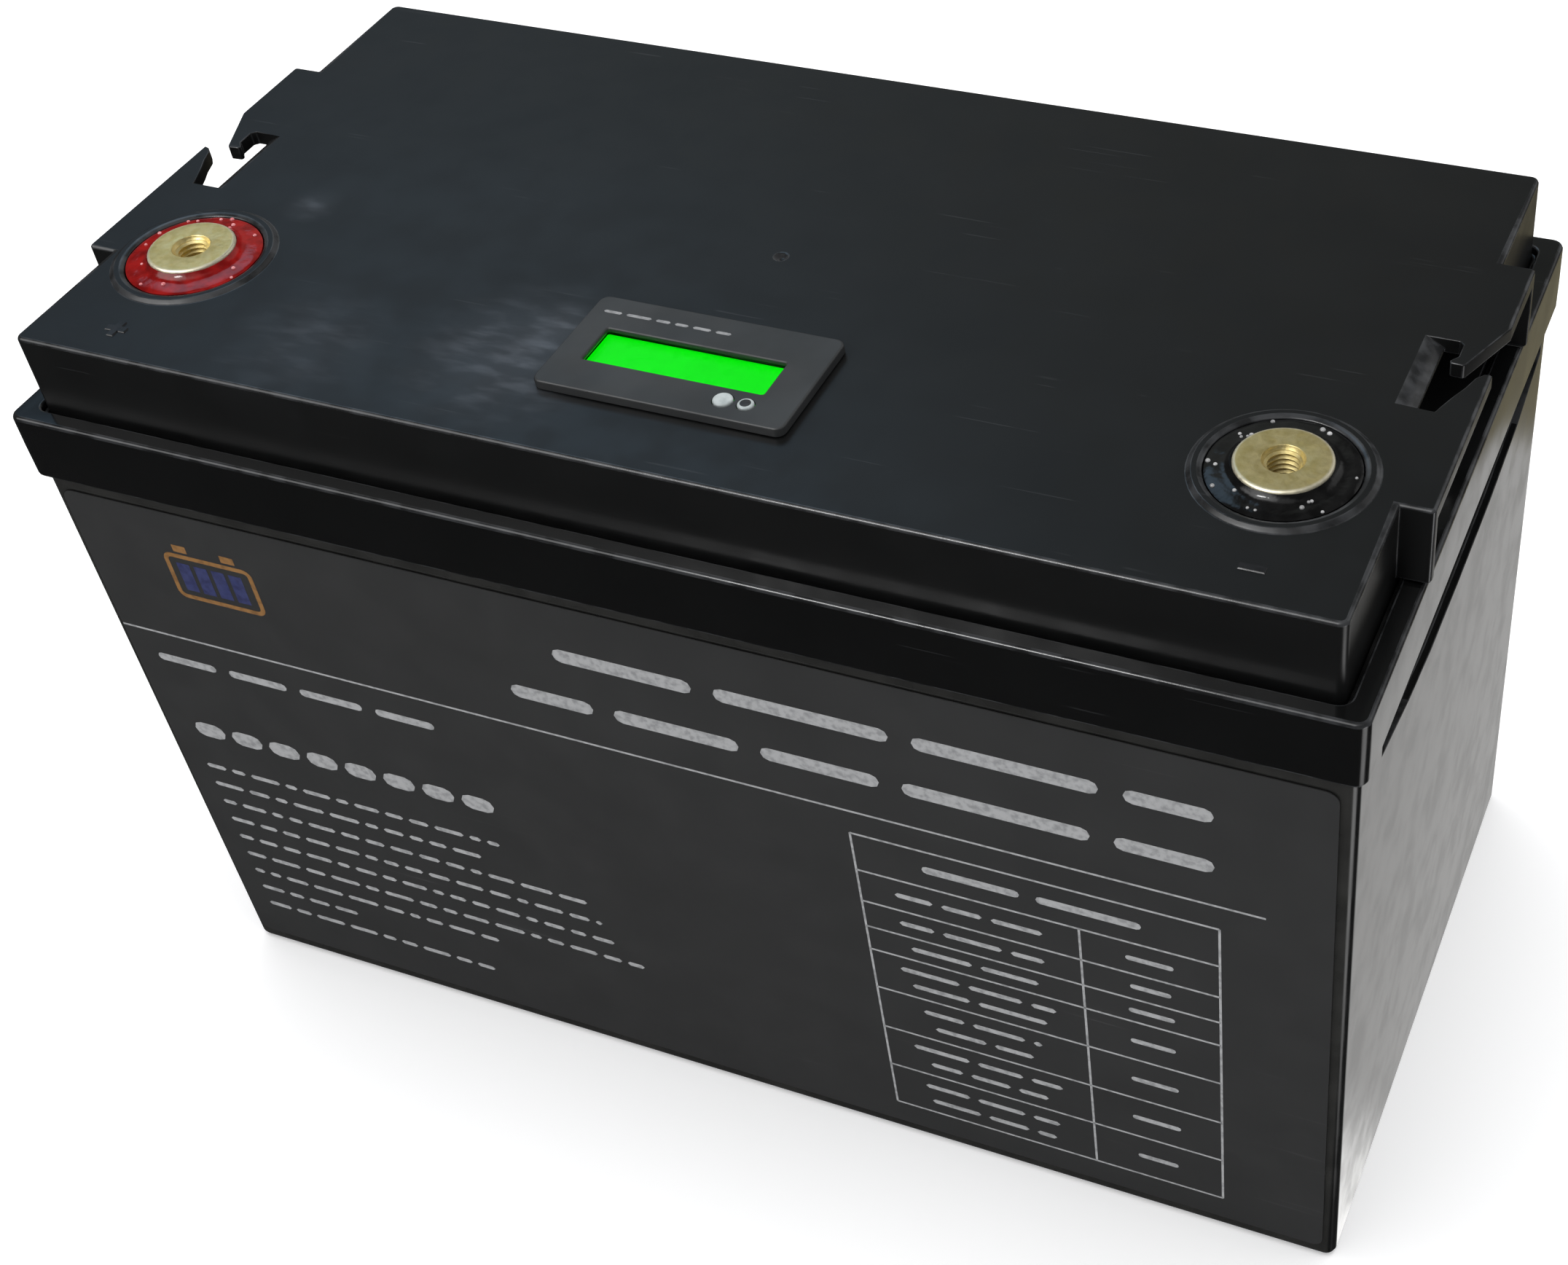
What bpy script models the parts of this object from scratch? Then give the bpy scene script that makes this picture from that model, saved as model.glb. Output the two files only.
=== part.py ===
"""Deep cycle battery: a 12 V lithium iron phosphate battery in a 330 mm moulded case.

The origin is at the middle of the base. +X points to the negative terminal's end, -Y to the labelled
front and +Z up. Lengths are in metres: MM turns millimetres into metres.
"""

import math

import bmesh
import bpy
from mathutils import Vector

MM = 0.001
GAP = 0.3 * MM  # between pieces that touch on the real object

# Case: half sizes of each storey, measured from the centre
WALL_FOOT_X, WALL_FOOT_Y = 162.6 * MM, 83.6 * MM
WALL_HEAD_X, WALL_HEAD_Y = 163.2 * MM, 84.2 * MM
WALL_CORNER = 2.8 * MM
COLLAR_X, COLLAR_Y = 165.0 * MM, 86.0 * MM
COLLAR_CORNER = 3.0 * MM
COLLAR_BOTTOM, COLLAR_TOP = 175.2 * MM, 193.2 * MM
TROUGH_X, TROUGH_Y = 159.8 * MM, 81.5 * MM
TROUGH_CORNER = 2.9 * MM
TROUGH_FLOOR = 189.0 * MM
CAVITY_X, CAVITY_Y = 158.9 * MM, 80.6 * MM
CAVITY_DRAFT = 0.5 * MM
CAVITY_CORNER = 2.2 * MM
FLOOR = 4.0 * MM

# Lid
LID_X, LID_Y = 158.5 * MM, 80.2 * MM
LID_CORNER = 2.0 * MM
LID_TOP = 213.2 * MM
LID_SKIRT_BOTTOM = 180.0 * MM
LID_WALL = 3.0 * MM
LID_EDGE = 0.9 * MM

# End tabs with the rope slots
TAB_REACH = 165.8 * MM
TAB_HALF_Y = 43.5 * MM
TAB_SIDE_WALL = 2.5 * MM
TAB_PLATE = 3.6 * MM
TAB_BOTTOM = COLLAR_TOP + GAP
POCKET_X = 147.6 * MM
POCKET_WALL = 2.1 * MM
SLOT_INNER, SLOT_OUTER = 148.9 * MM, 157.5 * MM
SLOT_RAMP, SLOT_RAMP_DEPTH = 4.3 * MM, 2.5 * MM
SLOT_HALF_Y = 12.5 * MM

# Terminals
POSITIVE_X, NEGATIVE_X, TERMINAL_Y = -136.8 * MM, 133.4 * MM, -40.0 * MM
FLANGE_RADIUS = 10.5 * MM
FLANGE_TOP = LID_TOP + 3.0 * MM
STEM_RADIUS = 6.6 * MM
THREAD_RADIUS = 6.0 * MM
STEM_BOTTOM = 192.0 * MM
BORE_RADIUS = 3.4 * MM
BORE_MOUTH = 4.7 * MM
BORE_BOTTOM = 198.0 * MM
WELL_RADIUS = 16.5 * MM
WELL_FLOOR = LID_TOP - 2.6 * MM
RIM_FOOT, RIM_CREST = 19.8 * MM, 18.7 * MM
RIM_TOP = LID_TOP + 0.9 * MM
SEAT_RADIUS = 9.7 * MM
SEAT_FLOOR = WELL_FLOOR - 1.9 * MM
BOSS_RADIUS = 21.0 * MM
BOSS_BOTTOM = 203.0 * MM
STEM_HOLE = 7.1 * MM

# Display
DISPLAY_X, DISPLAY_Y = 0.0 * MM, -45.0 * MM
BEZEL_HALF_X, BEZEL_HALF_Y = 30.6 * MM, 16.5 * MM
BEZEL_CORNER = 2.2 * MM
BEZEL_BOTTOM = LID_TOP + GAP
BEZEL_TOP = LID_TOP + 2.6 * MM
BEZEL_LAND = 1.2 * MM
SLEEVE_HALF_X, SLEEVE_HALF_Y = 28.2 * MM, 15.2 * MM
SLEEVE_WALL = 1.4 * MM
SLEEVE_BOTTOM = 199.0 * MM
WINDOW_X, WINDOW_Y = DISPLAY_X - 1.0 * MM, DISPLAY_Y - 0.5 * MM
WINDOW_HALF_X, WINDOW_HALF_Y = 22.4 * MM, 5.9 * MM
GLASS_MARGIN = 0.7 * MM
LENS_THICKNESS = 0.8 * MM
MODE_KEY_X, SET_KEY_X, KEY_Y = 13.9 * MM, 19.4 * MM, -55.8 * MM
MODE_KEY_RADIUS, SET_KEY_RADIUS = 2.3 * MM, 1.9 * MM
KEY_PLAY = 0.2 * MM
KEY_FLANGE = 0.45 * MM
KEY_STAND = 0.5 * MM
KEY_TRAVEL = 0.6 * MM
BOARD_TOP = 205.0 * MM

# Cell pack
CELL_THICKNESS, CELL_WIDTH, CELL_HEIGHT = 49.4 * MM, 156.0 * MM, 118.0 * MM
SPACER_THICKNESS = 0.8 * MM
CELL_PITCH = CELL_THICKNESS + SPACER_THICKNESS + 2 * GAP
CELL_COUNT = 4
BASE_PAD = 3.0 * MM
CELL_BOTTOM = FLOOR + BASE_PAD + 2 * GAP
CELL_TOP = CELL_BOTTOM + CELL_HEIGHT
STUD_Y = 47.0 * MM
PAD_TOP = CELL_TOP + 2.0 * MM
STUD_RADIUS = 3.0 * MM
STUD_TOP = CELL_TOP + 13.0 * MM
BUSBAR_THICKNESS = 2.0 * MM
BUSBAR_HALF_WIDTH = 10.0 * MM
END_PLATE = 3.0 * MM
STRAP_THICKNESS, STRAP_WIDTH = 0.6 * MM, 16.0 * MM
BOARD_SHELF = STUD_TOP + 2.4 * MM
LEAD_RADIUS = 4.0 * MM

# Materials: colour, roughness, metallic
MATERIALS = {
    "case_abs": ((0.016, 0.017, 0.017), 0.32, 0.0),
    "label_film": ((0.045, 0.046, 0.046), 0.45, 0.0),
    "seal_resin": ((0.01, 0.01, 0.01), 0.2, 0.0),
    "brass": ((0.78, 0.62, 0.33), 0.28, 1.0),
    "red_resin": ((0.45, 0.01, 0.012), 0.12, 0.0),
    "black_resin": ((0.008, 0.008, 0.009), 0.08, 0.0),
    "rubber": ((0.02, 0.02, 0.02), 0.7, 0.0),
    "steel": ((0.55, 0.56, 0.57), 0.35, 1.0),
    "tinned_copper": ((0.72, 0.69, 0.66), 0.3, 1.0),
    "bezel_plastic": ((0.08, 0.085, 0.09), 0.42, 0.0),
    "clear_plastic": ((0.9, 0.95, 0.9), 0.05, 0.0),
    "lcd_green": ((0.0, 0.8, 0.02), 0.3, 0.0),
    "light_guide": ((0.85, 0.9, 0.85), 0.3, 0.0),
    "key_plastic": ((0.42, 0.46, 0.46), 0.4, 0.0),
    "circuit_board": ((0.02, 0.16, 0.06), 0.4, 0.0),
    "white_plastic": ((0.75, 0.74, 0.7), 0.45, 0.0),
    "cell_film": ((0.03, 0.11, 0.36), 0.35, 0.0),
    "epoxy_sheet": ((0.5, 0.52, 0.2), 0.5, 0.0),
    "aluminium": ((0.77, 0.78, 0.8), 0.35, 1.0),
    "foam": ((0.05, 0.05, 0.05), 0.9, 0.0),
    "cable_red": ((0.5, 0.02, 0.02), 0.45, 0.0),
    "cable_black": ((0.015, 0.015, 0.015), 0.45, 0.0),
    "cable_white": ((0.7, 0.7, 0.68), 0.45, 0.0),
}


def clear_scene():
    for obj in list(bpy.data.objects):
        bpy.data.objects.remove(obj, do_unlink=True)


def material(name):
    """The Principled material of this name, made once."""
    found = bpy.data.materials.get(name)
    if found:
        return found
    colour, roughness, metallic = MATERIALS[name]
    made = bpy.data.materials.new(name)
    made.use_nodes = True
    shader = made.node_tree.nodes["Principled BSDF"]
    shader.inputs["Base Color"].default_value = (*colour, 1.0)
    shader.inputs["Roughness"].default_value = roughness
    shader.inputs["Metallic"].default_value = metallic
    return made


# Outlines and rings


def rounded_rectangle(half_x, half_y, corner, steps=5, centre=(0.0, 0.0)):
    """Anticlockwise outline with a quarter circle at each corner."""
    outline = []
    for turn, (sign_x, sign_y) in enumerate(((1, 1), (-1, 1), (-1, -1), (1, -1))):
        for step in range(steps + 1):
            angle = math.radians(90 * turn + 90 * step / steps)
            x = sign_x * (half_x - corner) + corner * math.cos(angle)
            y = sign_y * (half_y - corner) + corner * math.sin(angle)
            outline.append((centre[0] + x, centre[1] + y))
    return outline


def circle(radius, count, centre=(0.0, 0.0)):
    angles = [2 * math.pi * (step + 0.5) / count for step in range(count)]
    return [(centre[0] + radius * math.cos(a), centre[1] + radius * math.sin(a)) for a in angles]


def hexagon(across_flats, count, centre=(0.0, 0.0)):
    """Hexagon sampled at count points, a multiple of 6, for pairing with a circle of the same count."""
    outline = []
    for step in range(count):
        angle = 2 * math.pi * step / count
        off_flat = (angle + math.pi / 6) % (math.pi / 3) - math.pi / 6
        radius = across_flats / 2 / math.cos(off_flat)
        outline.append((centre[0] + radius * math.cos(angle), centre[1] + radius * math.sin(angle)))
    return outline


def at_height(outline, z):
    return [(x, y, z) for x, y in outline]


# Objects


def add_object(name, mesh, material_name, sharp_angle=35):
    obj = bpy.data.objects.new(name, mesh)
    bpy.context.scene.collection.objects.link(obj)
    mesh.materials.clear()
    mesh.materials.append(material(material_name))
    mesh.shade_smooth()
    mesh.set_sharp_from_angle(angle=math.radians(sharp_angle))
    return obj


def skin(name, rings, material_name, cyclic=False):
    """Closed body through rings of points: its ends are capped or, if cyclic, it closes on itself."""
    work = bmesh.new()
    loops = [[work.verts.new(point) for point in ring] for ring in rings]
    pairs = list(zip(loops, loops[1:]))
    if cyclic:
        pairs.append((loops[-1], loops[0]))
    else:
        work.faces.new(loops[0])
        work.faces.new(loops[-1])
    for lower, upper in pairs:
        for i in range(len(lower)):
            j = (i + 1) % len(lower)
            work.faces.new((lower[i], lower[j], upper[j], upper[i]))
    bmesh.ops.recalc_face_normals(work, faces=work.faces)
    mesh = bpy.data.meshes.new(name)
    work.to_mesh(mesh)
    work.free()
    return add_object(name, mesh, material_name)


def storeys(name, levels, material_name, centre=(0.0, 0.0), steps=5, cyclic=False):
    """Body through rounded rectangles: each level is (half_x, half_y, corner, z)."""
    rings = [at_height(rounded_rectangle(x, y, r, steps, centre), z) for x, y, r, z in levels]
    return skin(name, rings, material_name, cyclic)


def turned(name, profile, material_name, centre=(0.0, 0.0), count=48, cyclic=False):
    """Body turned about a vertical axis: the profile is a list of (radius, z)."""
    rings = [at_height(circle(radius, count, centre), z) for radius, z in profile]
    return skin(name, rings, material_name, cyclic)


def block(name, low, high, material_name, edge=0.5 * MM, corner=1.0 * MM, steps=3):
    """Upright block with rounded corners and broken top and bottom edges."""
    half_x, half_y = (high[0] - low[0]) / 2, (high[1] - low[1]) / 2
    centre = ((high[0] + low[0]) / 2, (high[1] + low[1]) / 2)
    inner = max(corner - edge, 0.1 * MM)
    levels = [
        (half_x - edge, half_y - edge, inner, low[2]),
        (half_x, half_y, corner, low[2] + edge),
        (half_x, half_y, corner, high[2] - edge),
        (half_x - edge, half_y - edge, inner, high[2]),
    ]
    return storeys(name, levels, material_name, centre, steps)


def tube(name, route, radius, material_name, sides=8, parts=4):
    """Round lead through smoothed route points, with flat ends, as one mesh."""
    points = [Vector(point) for point in smooth_route(route, parts)]
    rings = []
    side = None
    for i, point in enumerate(points):
        ahead = points[min(i + 1, len(points) - 1)] - points[max(i - 1, 0)]
        ahead.normalize()
        if side is None:
            side = ahead.orthogonal().normalized()
        side = (side - ahead * side.dot(ahead)).normalized()
        up = ahead.cross(side)
        ring = []
        for step in range(sides):
            angle = 2 * math.pi * step / sides
            ring.append(point + radius * (math.cos(angle) * side + math.sin(angle) * up))
        rings.append(ring)
    return skin(name, rings, material_name)


def smooth_route(route, parts):
    """Catmull-Rom curve through the route's points."""
    ends = [route[0], *route, route[-1]]
    smoothed = []
    for before, start, end, after in zip(ends, ends[1:], ends[2:], ends[3:]):
        for part in range(parts):
            t = part / parts
            point = []
            for b, s, e, a in zip(before, start, end, after):
                cubic = 2 * s + (e - b) * t + (2 * b - 5 * s + 4 * e - a) * t**2
                point.append((cubic + (3 * s - b - 3 * e + a) * t**3) / 2)
            smoothed.append(tuple(point))
    smoothed.append(tuple(route[-1]))
    return smoothed


def combine(obj, tool, operation):
    """Cuts or joins tool into obj for good, and removes the tool."""
    modifier = obj.modifiers.new(operation.lower(), "BOOLEAN")
    modifier.operation = operation
    modifier.solver = "EXACT"
    modifier.object = tool
    bpy.context.view_layer.update()
    evaluated = obj.evaluated_get(bpy.context.evaluated_depsgraph_get())
    mesh = bpy.data.meshes.new_from_object(evaluated)
    obj.modifiers.clear()
    name = obj.data.name
    obj.data = mesh
    mesh.name = name
    mesh.shade_smooth()
    mesh.set_sharp_from_angle(angle=math.radians(35))
    bpy.data.objects.remove(tool, do_unlink=True)


def cut(obj, tool):
    combine(obj, tool, "DIFFERENCE")


def join(obj, tool):
    combine(obj, tool, "UNION")


def copy_of(obj, name, offset):
    twin = bpy.data.objects.new(name, obj.data)
    bpy.context.scene.collection.objects.link(twin)
    twin.location = obj.location + Vector(offset)
    return twin


# Case


def wall_y(z):
    """Outer face of the front wall at height z, as a positive distance."""
    return WALL_FOOT_Y + (WALL_HEAD_Y - WALL_FOOT_Y) * z / COLLAR_BOTTOM


def make_container():
    foot, rim = 2.0 * MM, 1.0 * MM
    levels = [
        (WALL_FOOT_X - foot, WALL_FOOT_Y - foot, WALL_CORNER - foot, 0.0),
        (WALL_FOOT_X - 0.3 * foot, WALL_FOOT_Y - 0.3 * foot, WALL_CORNER - 0.3 * foot, 0.3 * foot),
        (WALL_FOOT_X, WALL_FOOT_Y, WALL_CORNER, foot),
        (WALL_HEAD_X, WALL_HEAD_Y, WALL_CORNER, COLLAR_BOTTOM),
        (COLLAR_X - 0.6 * MM, COLLAR_Y - 0.6 * MM, COLLAR_CORNER - 0.6 * MM, COLLAR_BOTTOM),
        (COLLAR_X - 0.1 * MM, COLLAR_Y - 0.1 * MM, COLLAR_CORNER, COLLAR_BOTTOM + 0.6 * MM),
        (COLLAR_X, COLLAR_Y, COLLAR_CORNER, COLLAR_BOTTOM + 9.0 * MM),
        (COLLAR_X, COLLAR_Y, COLLAR_CORNER, COLLAR_TOP - rim),
        (COLLAR_X - 0.3 * rim, COLLAR_Y - 0.3 * rim, COLLAR_CORNER - 0.3 * rim, COLLAR_TOP - 0.3 * rim),
        (COLLAR_X - rim, COLLAR_Y - rim, COLLAR_CORNER - rim, COLLAR_TOP),
        (TROUGH_X + 0.3 * MM, TROUGH_Y + 0.3 * MM, TROUGH_CORNER + 0.3 * MM, COLLAR_TOP),
        (TROUGH_X, TROUGH_Y, TROUGH_CORNER, COLLAR_TOP - 0.3 * MM),
        (TROUGH_X, TROUGH_Y, TROUGH_CORNER, TROUGH_FLOOR),
        (CAVITY_X, CAVITY_Y, CAVITY_CORNER, TROUGH_FLOOR),
        (CAVITY_X - CAVITY_DRAFT, CAVITY_Y - CAVITY_DRAFT, CAVITY_CORNER, FLOOR + 2.0 * MM),
        (CAVITY_X - 2.0 * MM, CAVITY_Y - 2.0 * MM, 0.7 * MM, FLOOR),
    ]
    container = storeys("container", levels, "case_abs")
    for side in (-1, 1):
        cut(container, collar_undercut(side))
    return container


def collar_undercut(side):
    """Recess under the collar of one end, shallow towards its two ends, where it runs out."""
    depth, top = 1.8 * MM, COLLAR_BOTTOM - 0.6 * MM
    out, deep = side * (WALL_HEAD_X + 1.0 * MM), side * (WALL_HEAD_X - depth)
    lower_edge = [(-66, 165), (-44, 160.4), (-25, 158), (0, 157.2), (30, 157.2), (56, 159.4), (78, 165)]
    outline = [(y * MM, z * MM) for y, z in lower_edge]
    outline += [(outline[-1][0], top), (outline[0][0], top)]
    return skin("undercut_tool", [[(x, y, z) for y, z in outline] for x in (out, deep)], "case_abs")


def slot_outline(side, ramp):
    """Rope slot of one tab with its hooked mouth. ramp is how far the inner wall has come outwards."""
    past_edge = TAB_REACH + 3.0 * MM
    points = [
        (SLOT_INNER + ramp, -SLOT_HALF_Y),
        (SLOT_OUTER, -SLOT_HALF_Y),
        (SLOT_OUTER + 0.7 * MM, -10.5 * MM),
        (159.9 * MM, -6.2 * MM),
        (161.4 * MM, -3.0 * MM),
        (162.7 * MM, 0.9 * MM),
        (164.1 * MM, 2.6 * MM),
        (TAB_REACH, 3.1 * MM),
        (past_edge, 3.1 * MM),
        (past_edge, 27.0 * MM),
        (TAB_REACH, 20.5 * MM),
        (159.7 * MM, 5.0 * MM),
        (159.2 * MM, 4.4 * MM),
        (156.4 * MM, 4.6 * MM),
        (156.1 * MM, 5.4 * MM),
        (SLOT_OUTER, 7.2 * MM),
        (SLOT_OUTER, SLOT_HALF_Y - 1.0 * MM),
        (SLOT_OUTER - 1.0 * MM, SLOT_HALF_Y),
        (SLOT_INNER + ramp, SLOT_HALF_Y),
    ]
    return [(side * x, y) for x, y in points]


def add_end_tab(lid, side):
    """Tab that steps out over the collar, hollow below its plate, with a pocket wall inside the lid."""

    def box(name, x_low, x_high, half_y, z_low, z_high, edge=0.0, corner=0.4 * MM):
        xs = sorted((side * x_low, side * x_high))
        low, high = (xs[0], -half_y, z_low), (xs[1], half_y, z_high)
        return block(name, low, high, "case_abs", edge or 0.01 * MM, corner, 2)

    pocket_back = POCKET_X - POCKET_WALL
    inside = LID_X - 1.0 * MM
    join(lid, box("pocket", pocket_back, inside, TAB_HALF_Y, TAB_BOTTOM - POCKET_WALL, LID_TOP - 1.0 * MM))
    join(lid, box("tab", LID_X - 2.0 * MM, TAB_REACH, TAB_HALF_Y, TAB_BOTTOM, LID_TOP, 0.5 * MM, 1.0 * MM))
    hollow_half_y = TAB_HALF_Y - TAB_SIDE_WALL
    plate_bottom = LID_TOP - TAB_PLATE
    cut(lid, box("hollow", POCKET_X, TAB_REACH + 4.0 * MM, hollow_half_y, TAB_BOTTOM, plate_bottom))
    over = 1.0 * MM
    slope = SLOT_RAMP / SLOT_RAMP_DEPTH
    above = at_height(slot_outline(side, -slope * over), LID_TOP + over)
    knee = at_height(slot_outline(side, SLOT_RAMP), LID_TOP - SLOT_RAMP_DEPTH)
    below = at_height(slot_outline(side, SLOT_RAMP), plate_bottom - over)
    cut(lid, skin("slot_tool", [below, knee, above], "case_abs"))


def add_terminal_boss(lid, centre_x):
    """Thick pad under the lid that carries one terminal, with a low rim round its cup."""
    boss = [
        (BOSS_RADIUS - 1.0 * MM, BOSS_BOTTOM),
        (BOSS_RADIUS, BOSS_BOTTOM + 1.0 * MM),
        (BOSS_RADIUS, LID_TOP - 1.5 * MM),
        (RIM_FOOT, LID_TOP - 1.4 * MM),
        (RIM_FOOT, LID_TOP),
        (RIM_CREST + 0.3 * MM, RIM_TOP - 0.1 * MM),
        (RIM_CREST, RIM_TOP),
    ]
    join(lid, turned("boss", boss, "case_abs", (centre_x, TERMINAL_Y)))


def cut_terminal_well(lid, centre_x):
    """Resin cup, O-ring seat and stem hole for one terminal."""
    centre = (centre_x, TERMINAL_Y)
    well = [
        (STEM_HOLE, BOSS_BOTTOM - 1.0 * MM),
        (STEM_HOLE, SEAT_FLOOR),
        (SEAT_RADIUS, SEAT_FLOOR),
        (SEAT_RADIUS, WELL_FLOOR),
        (WELL_RADIUS, WELL_FLOOR),
        (WELL_RADIUS, RIM_TOP - 0.5 * MM),
        (WELL_RADIUS + 1.6 * MM, RIM_TOP + 0.2 * MM),
    ]
    cut(lid, turned("well_tool", well, "case_abs", centre))


def make_lid():
    inner_x, inner_y = LID_X - LID_WALL, LID_Y - LID_WALL
    edge = LID_EDGE
    levels = [
        (inner_x, inner_y, 1.5 * MM, LID_TOP - LID_WALL),
        (inner_x, inner_y, 1.5 * MM, LID_SKIRT_BOTTOM),
        (LID_X - 0.6 * MM, LID_Y - 0.6 * MM, LID_CORNER - 0.6 * MM, LID_SKIRT_BOTTOM),
        (LID_X, LID_Y, LID_CORNER, LID_SKIRT_BOTTOM + 2.0 * MM),
        (LID_X, LID_Y, LID_CORNER, LID_TOP - edge),
        (LID_X - 0.3 * edge, LID_Y - 0.3 * edge, LID_CORNER - 0.3 * edge, LID_TOP - 0.3 * edge),
        (LID_X - edge, LID_Y - edge, LID_CORNER - edge, LID_TOP),
    ]
    lid = storeys("lid", levels, "case_abs")
    for side, centre_x in ((-1, POSITIVE_X), (1, NEGATIVE_X)):
        add_terminal_boss(lid, centre_x)
        add_end_tab(lid, side)
        cut_terminal_well(lid, centre_x)
    opening_x, opening_y = SLEEVE_HALF_X + 0.4 * MM, SLEEVE_HALF_Y + 0.4 * MM
    opening = [
        (opening_x, opening_y, 1.0 * MM, LID_TOP - 5.0 * MM),
        (opening_x, opening_y, 1.0 * MM, LID_TOP + 1.0 * MM),
    ]
    cut(lid, storeys("opening_tool", opening, "case_abs", (DISPLAY_X, DISPLAY_Y), 2))
    gate = [(0.5 * MM, LID_TOP - 0.9 * MM), (1.3 * MM, LID_TOP - 0.4 * MM), (2.2 * MM, LID_TOP + 0.1 * MM)]
    cut(lid, turned("gate_tool", gate, "case_abs", (0.0, 0.0), 16))
    return lid


def make_lid_seal():
    """Bead of sealant in the trough between the collar and the lid's wall."""
    low, high = TROUGH_FLOOR + GAP, TROUGH_FLOOR + 2.4 * MM
    out_x, out_y = TROUGH_X - GAP, TROUGH_Y - GAP
    in_x, in_y = LID_X + GAP, LID_Y + GAP
    in_corner, out_corner = LID_CORNER + GAP, TROUGH_CORNER - GAP
    dip = 0.3 * MM
    levels = [
        (in_x, in_y, in_corner, low),
        (out_x, out_y, out_corner, low),
        (out_x, out_y, out_corner, high),
        ((out_x + in_x) / 2, (out_y + in_y) / 2, (out_corner + in_corner) / 2, high - dip),
        (in_x, in_y, in_corner, high),
    ]
    return storeys("lid_seal", levels, "seal_resin", cyclic=True)


def make_front_label():
    """Thin printed film that lies against the front wall and follows its draft."""
    half_x, low, high, corner, film = 159.6 * MM, 5.0 * MM, 171.3 * MM, 3.0 * MM, 0.25 * MM
    outline = rounded_rectangle(half_x, (high - low) / 2, corner, 5, (0.0, (high + low) / 2))
    back = [(x, -wall_y(z) - GAP, z) for x, z in outline]
    front = [(x, -wall_y(z) - GAP - film, z) for x, z in outline]
    return skin("front_label", [back, front], "label_film")


# Terminals


def make_terminal(centre_x, sign):
    """Post, resin, O-ring, lug and nut of one terminal. Returns the end of its lug's barrel."""
    centre = (centre_x, TERMINAL_Y)
    edge = 0.7 * MM
    flange_bottom = WELL_FLOOR + GAP
    post = [
        (THREAD_RADIUS - 0.8 * MM, STEM_BOTTOM),
        (THREAD_RADIUS, STEM_BOTTOM + 0.8 * MM),
        (THREAD_RADIUS, BOSS_BOTTOM - 0.6 * MM),
        (STEM_RADIUS, BOSS_BOTTOM),
        (STEM_RADIUS, flange_bottom),
        (FLANGE_RADIUS - 0.3 * MM, flange_bottom),
        (FLANGE_RADIUS, flange_bottom + 0.3 * MM),
        (FLANGE_RADIUS, FLANGE_TOP - edge),
        (FLANGE_RADIUS - 0.25 * edge, FLANGE_TOP - 0.25 * edge),
        (FLANGE_RADIUS - edge, FLANGE_TOP),
        (BORE_MOUTH, FLANGE_TOP),
        (BORE_RADIUS, FLANGE_TOP - 1.3 * MM),
        (BORE_RADIUS, BORE_BOTTOM + 1.0 * MM),
        (0.4 * MM, BORE_BOTTOM),
    ]
    turned(f"terminal_post_{sign}", post, "brass", centre)
    resin_in, resin_out = FLANGE_RADIUS + GAP, WELL_RADIUS - GAP
    resin = [
        (resin_in, WELL_FLOOR + GAP),
        (resin_out, WELL_FLOOR + GAP),
        (resin_out, LID_TOP + 0.5 * MM),
        (resin_out - 0.5 * MM, LID_TOP + 0.8 * MM),
        (resin_out - 2.0 * MM, LID_TOP + 0.9 * MM),
        (resin_in + 1.5 * MM, LID_TOP + 1.3 * MM),
        (resin_in + 0.6 * MM, LID_TOP + 1.8 * MM),
        (resin_in, LID_TOP + 2.4 * MM),
    ]
    colour = "red_resin" if sign == "positive" else "black_resin"
    turned(f"terminal_resin_{sign}", resin, colour, centre, cyclic=True)
    ring_radius, ring_thickness = 8.4 * MM, 0.85 * MM
    ring_z = SEAT_FLOOR + GAP + ring_thickness
    o_ring = []
    for step in range(6):
        angle = 2 * math.pi * step / 6
        o_ring.append((ring_radius + ring_thickness * math.cos(angle), ring_z + ring_thickness * math.sin(angle)))
    turned(f"terminal_o_ring_{sign}", o_ring, "rubber", centre, 20, True)
    lug_top = BOSS_BOTTOM - GAP
    lug_low = lug_top - 1.5 * MM
    hole = THREAD_RADIUS + 0.4 * MM
    lug_end = make_lug(f"terminal_lug_{sign}", centre, lug_low, hole, 8.4 * MM, (0, 1), False)
    nut(f"terminal_nut_{sign}", centre, 194.0 * MM, lug_low - GAP, 17.0 * MM, THREAD_RADIUS + GAP)
    return lug_end


def nut(name, centre, low, high, across_flats, bore):
    """Hexagon nut with broken corners."""
    count, edge = 12, 0.5 * MM
    rings = [
        at_height(circle(bore, count, centre), low),
        at_height(hexagon(across_flats - 2 * edge, count, centre), low),
        at_height(hexagon(across_flats, count, centre), low + edge),
        at_height(hexagon(across_flats, count, centre), high - edge),
        at_height(hexagon(across_flats - 2 * edge, count, centre), high),
        at_height(circle(bore, count, centre), high),
    ]
    # A circle starts half a step round, so its points are turned back to face the hexagon's.
    back = -math.pi / count
    for i in (0, -1):
        rings[i] = [turn_about(point, centre, back) for point in rings[i]]
    return skin(name, rings, "steel", True)


def turn_about(point, centre, angle):
    x, y = point[0] - centre[0], point[1] - centre[1]
    cos, sin = math.cos(angle), math.sin(angle)
    return (centre[0] + x * cos - y * sin, centre[1] + x * sin + y * cos, point[2])


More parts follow.
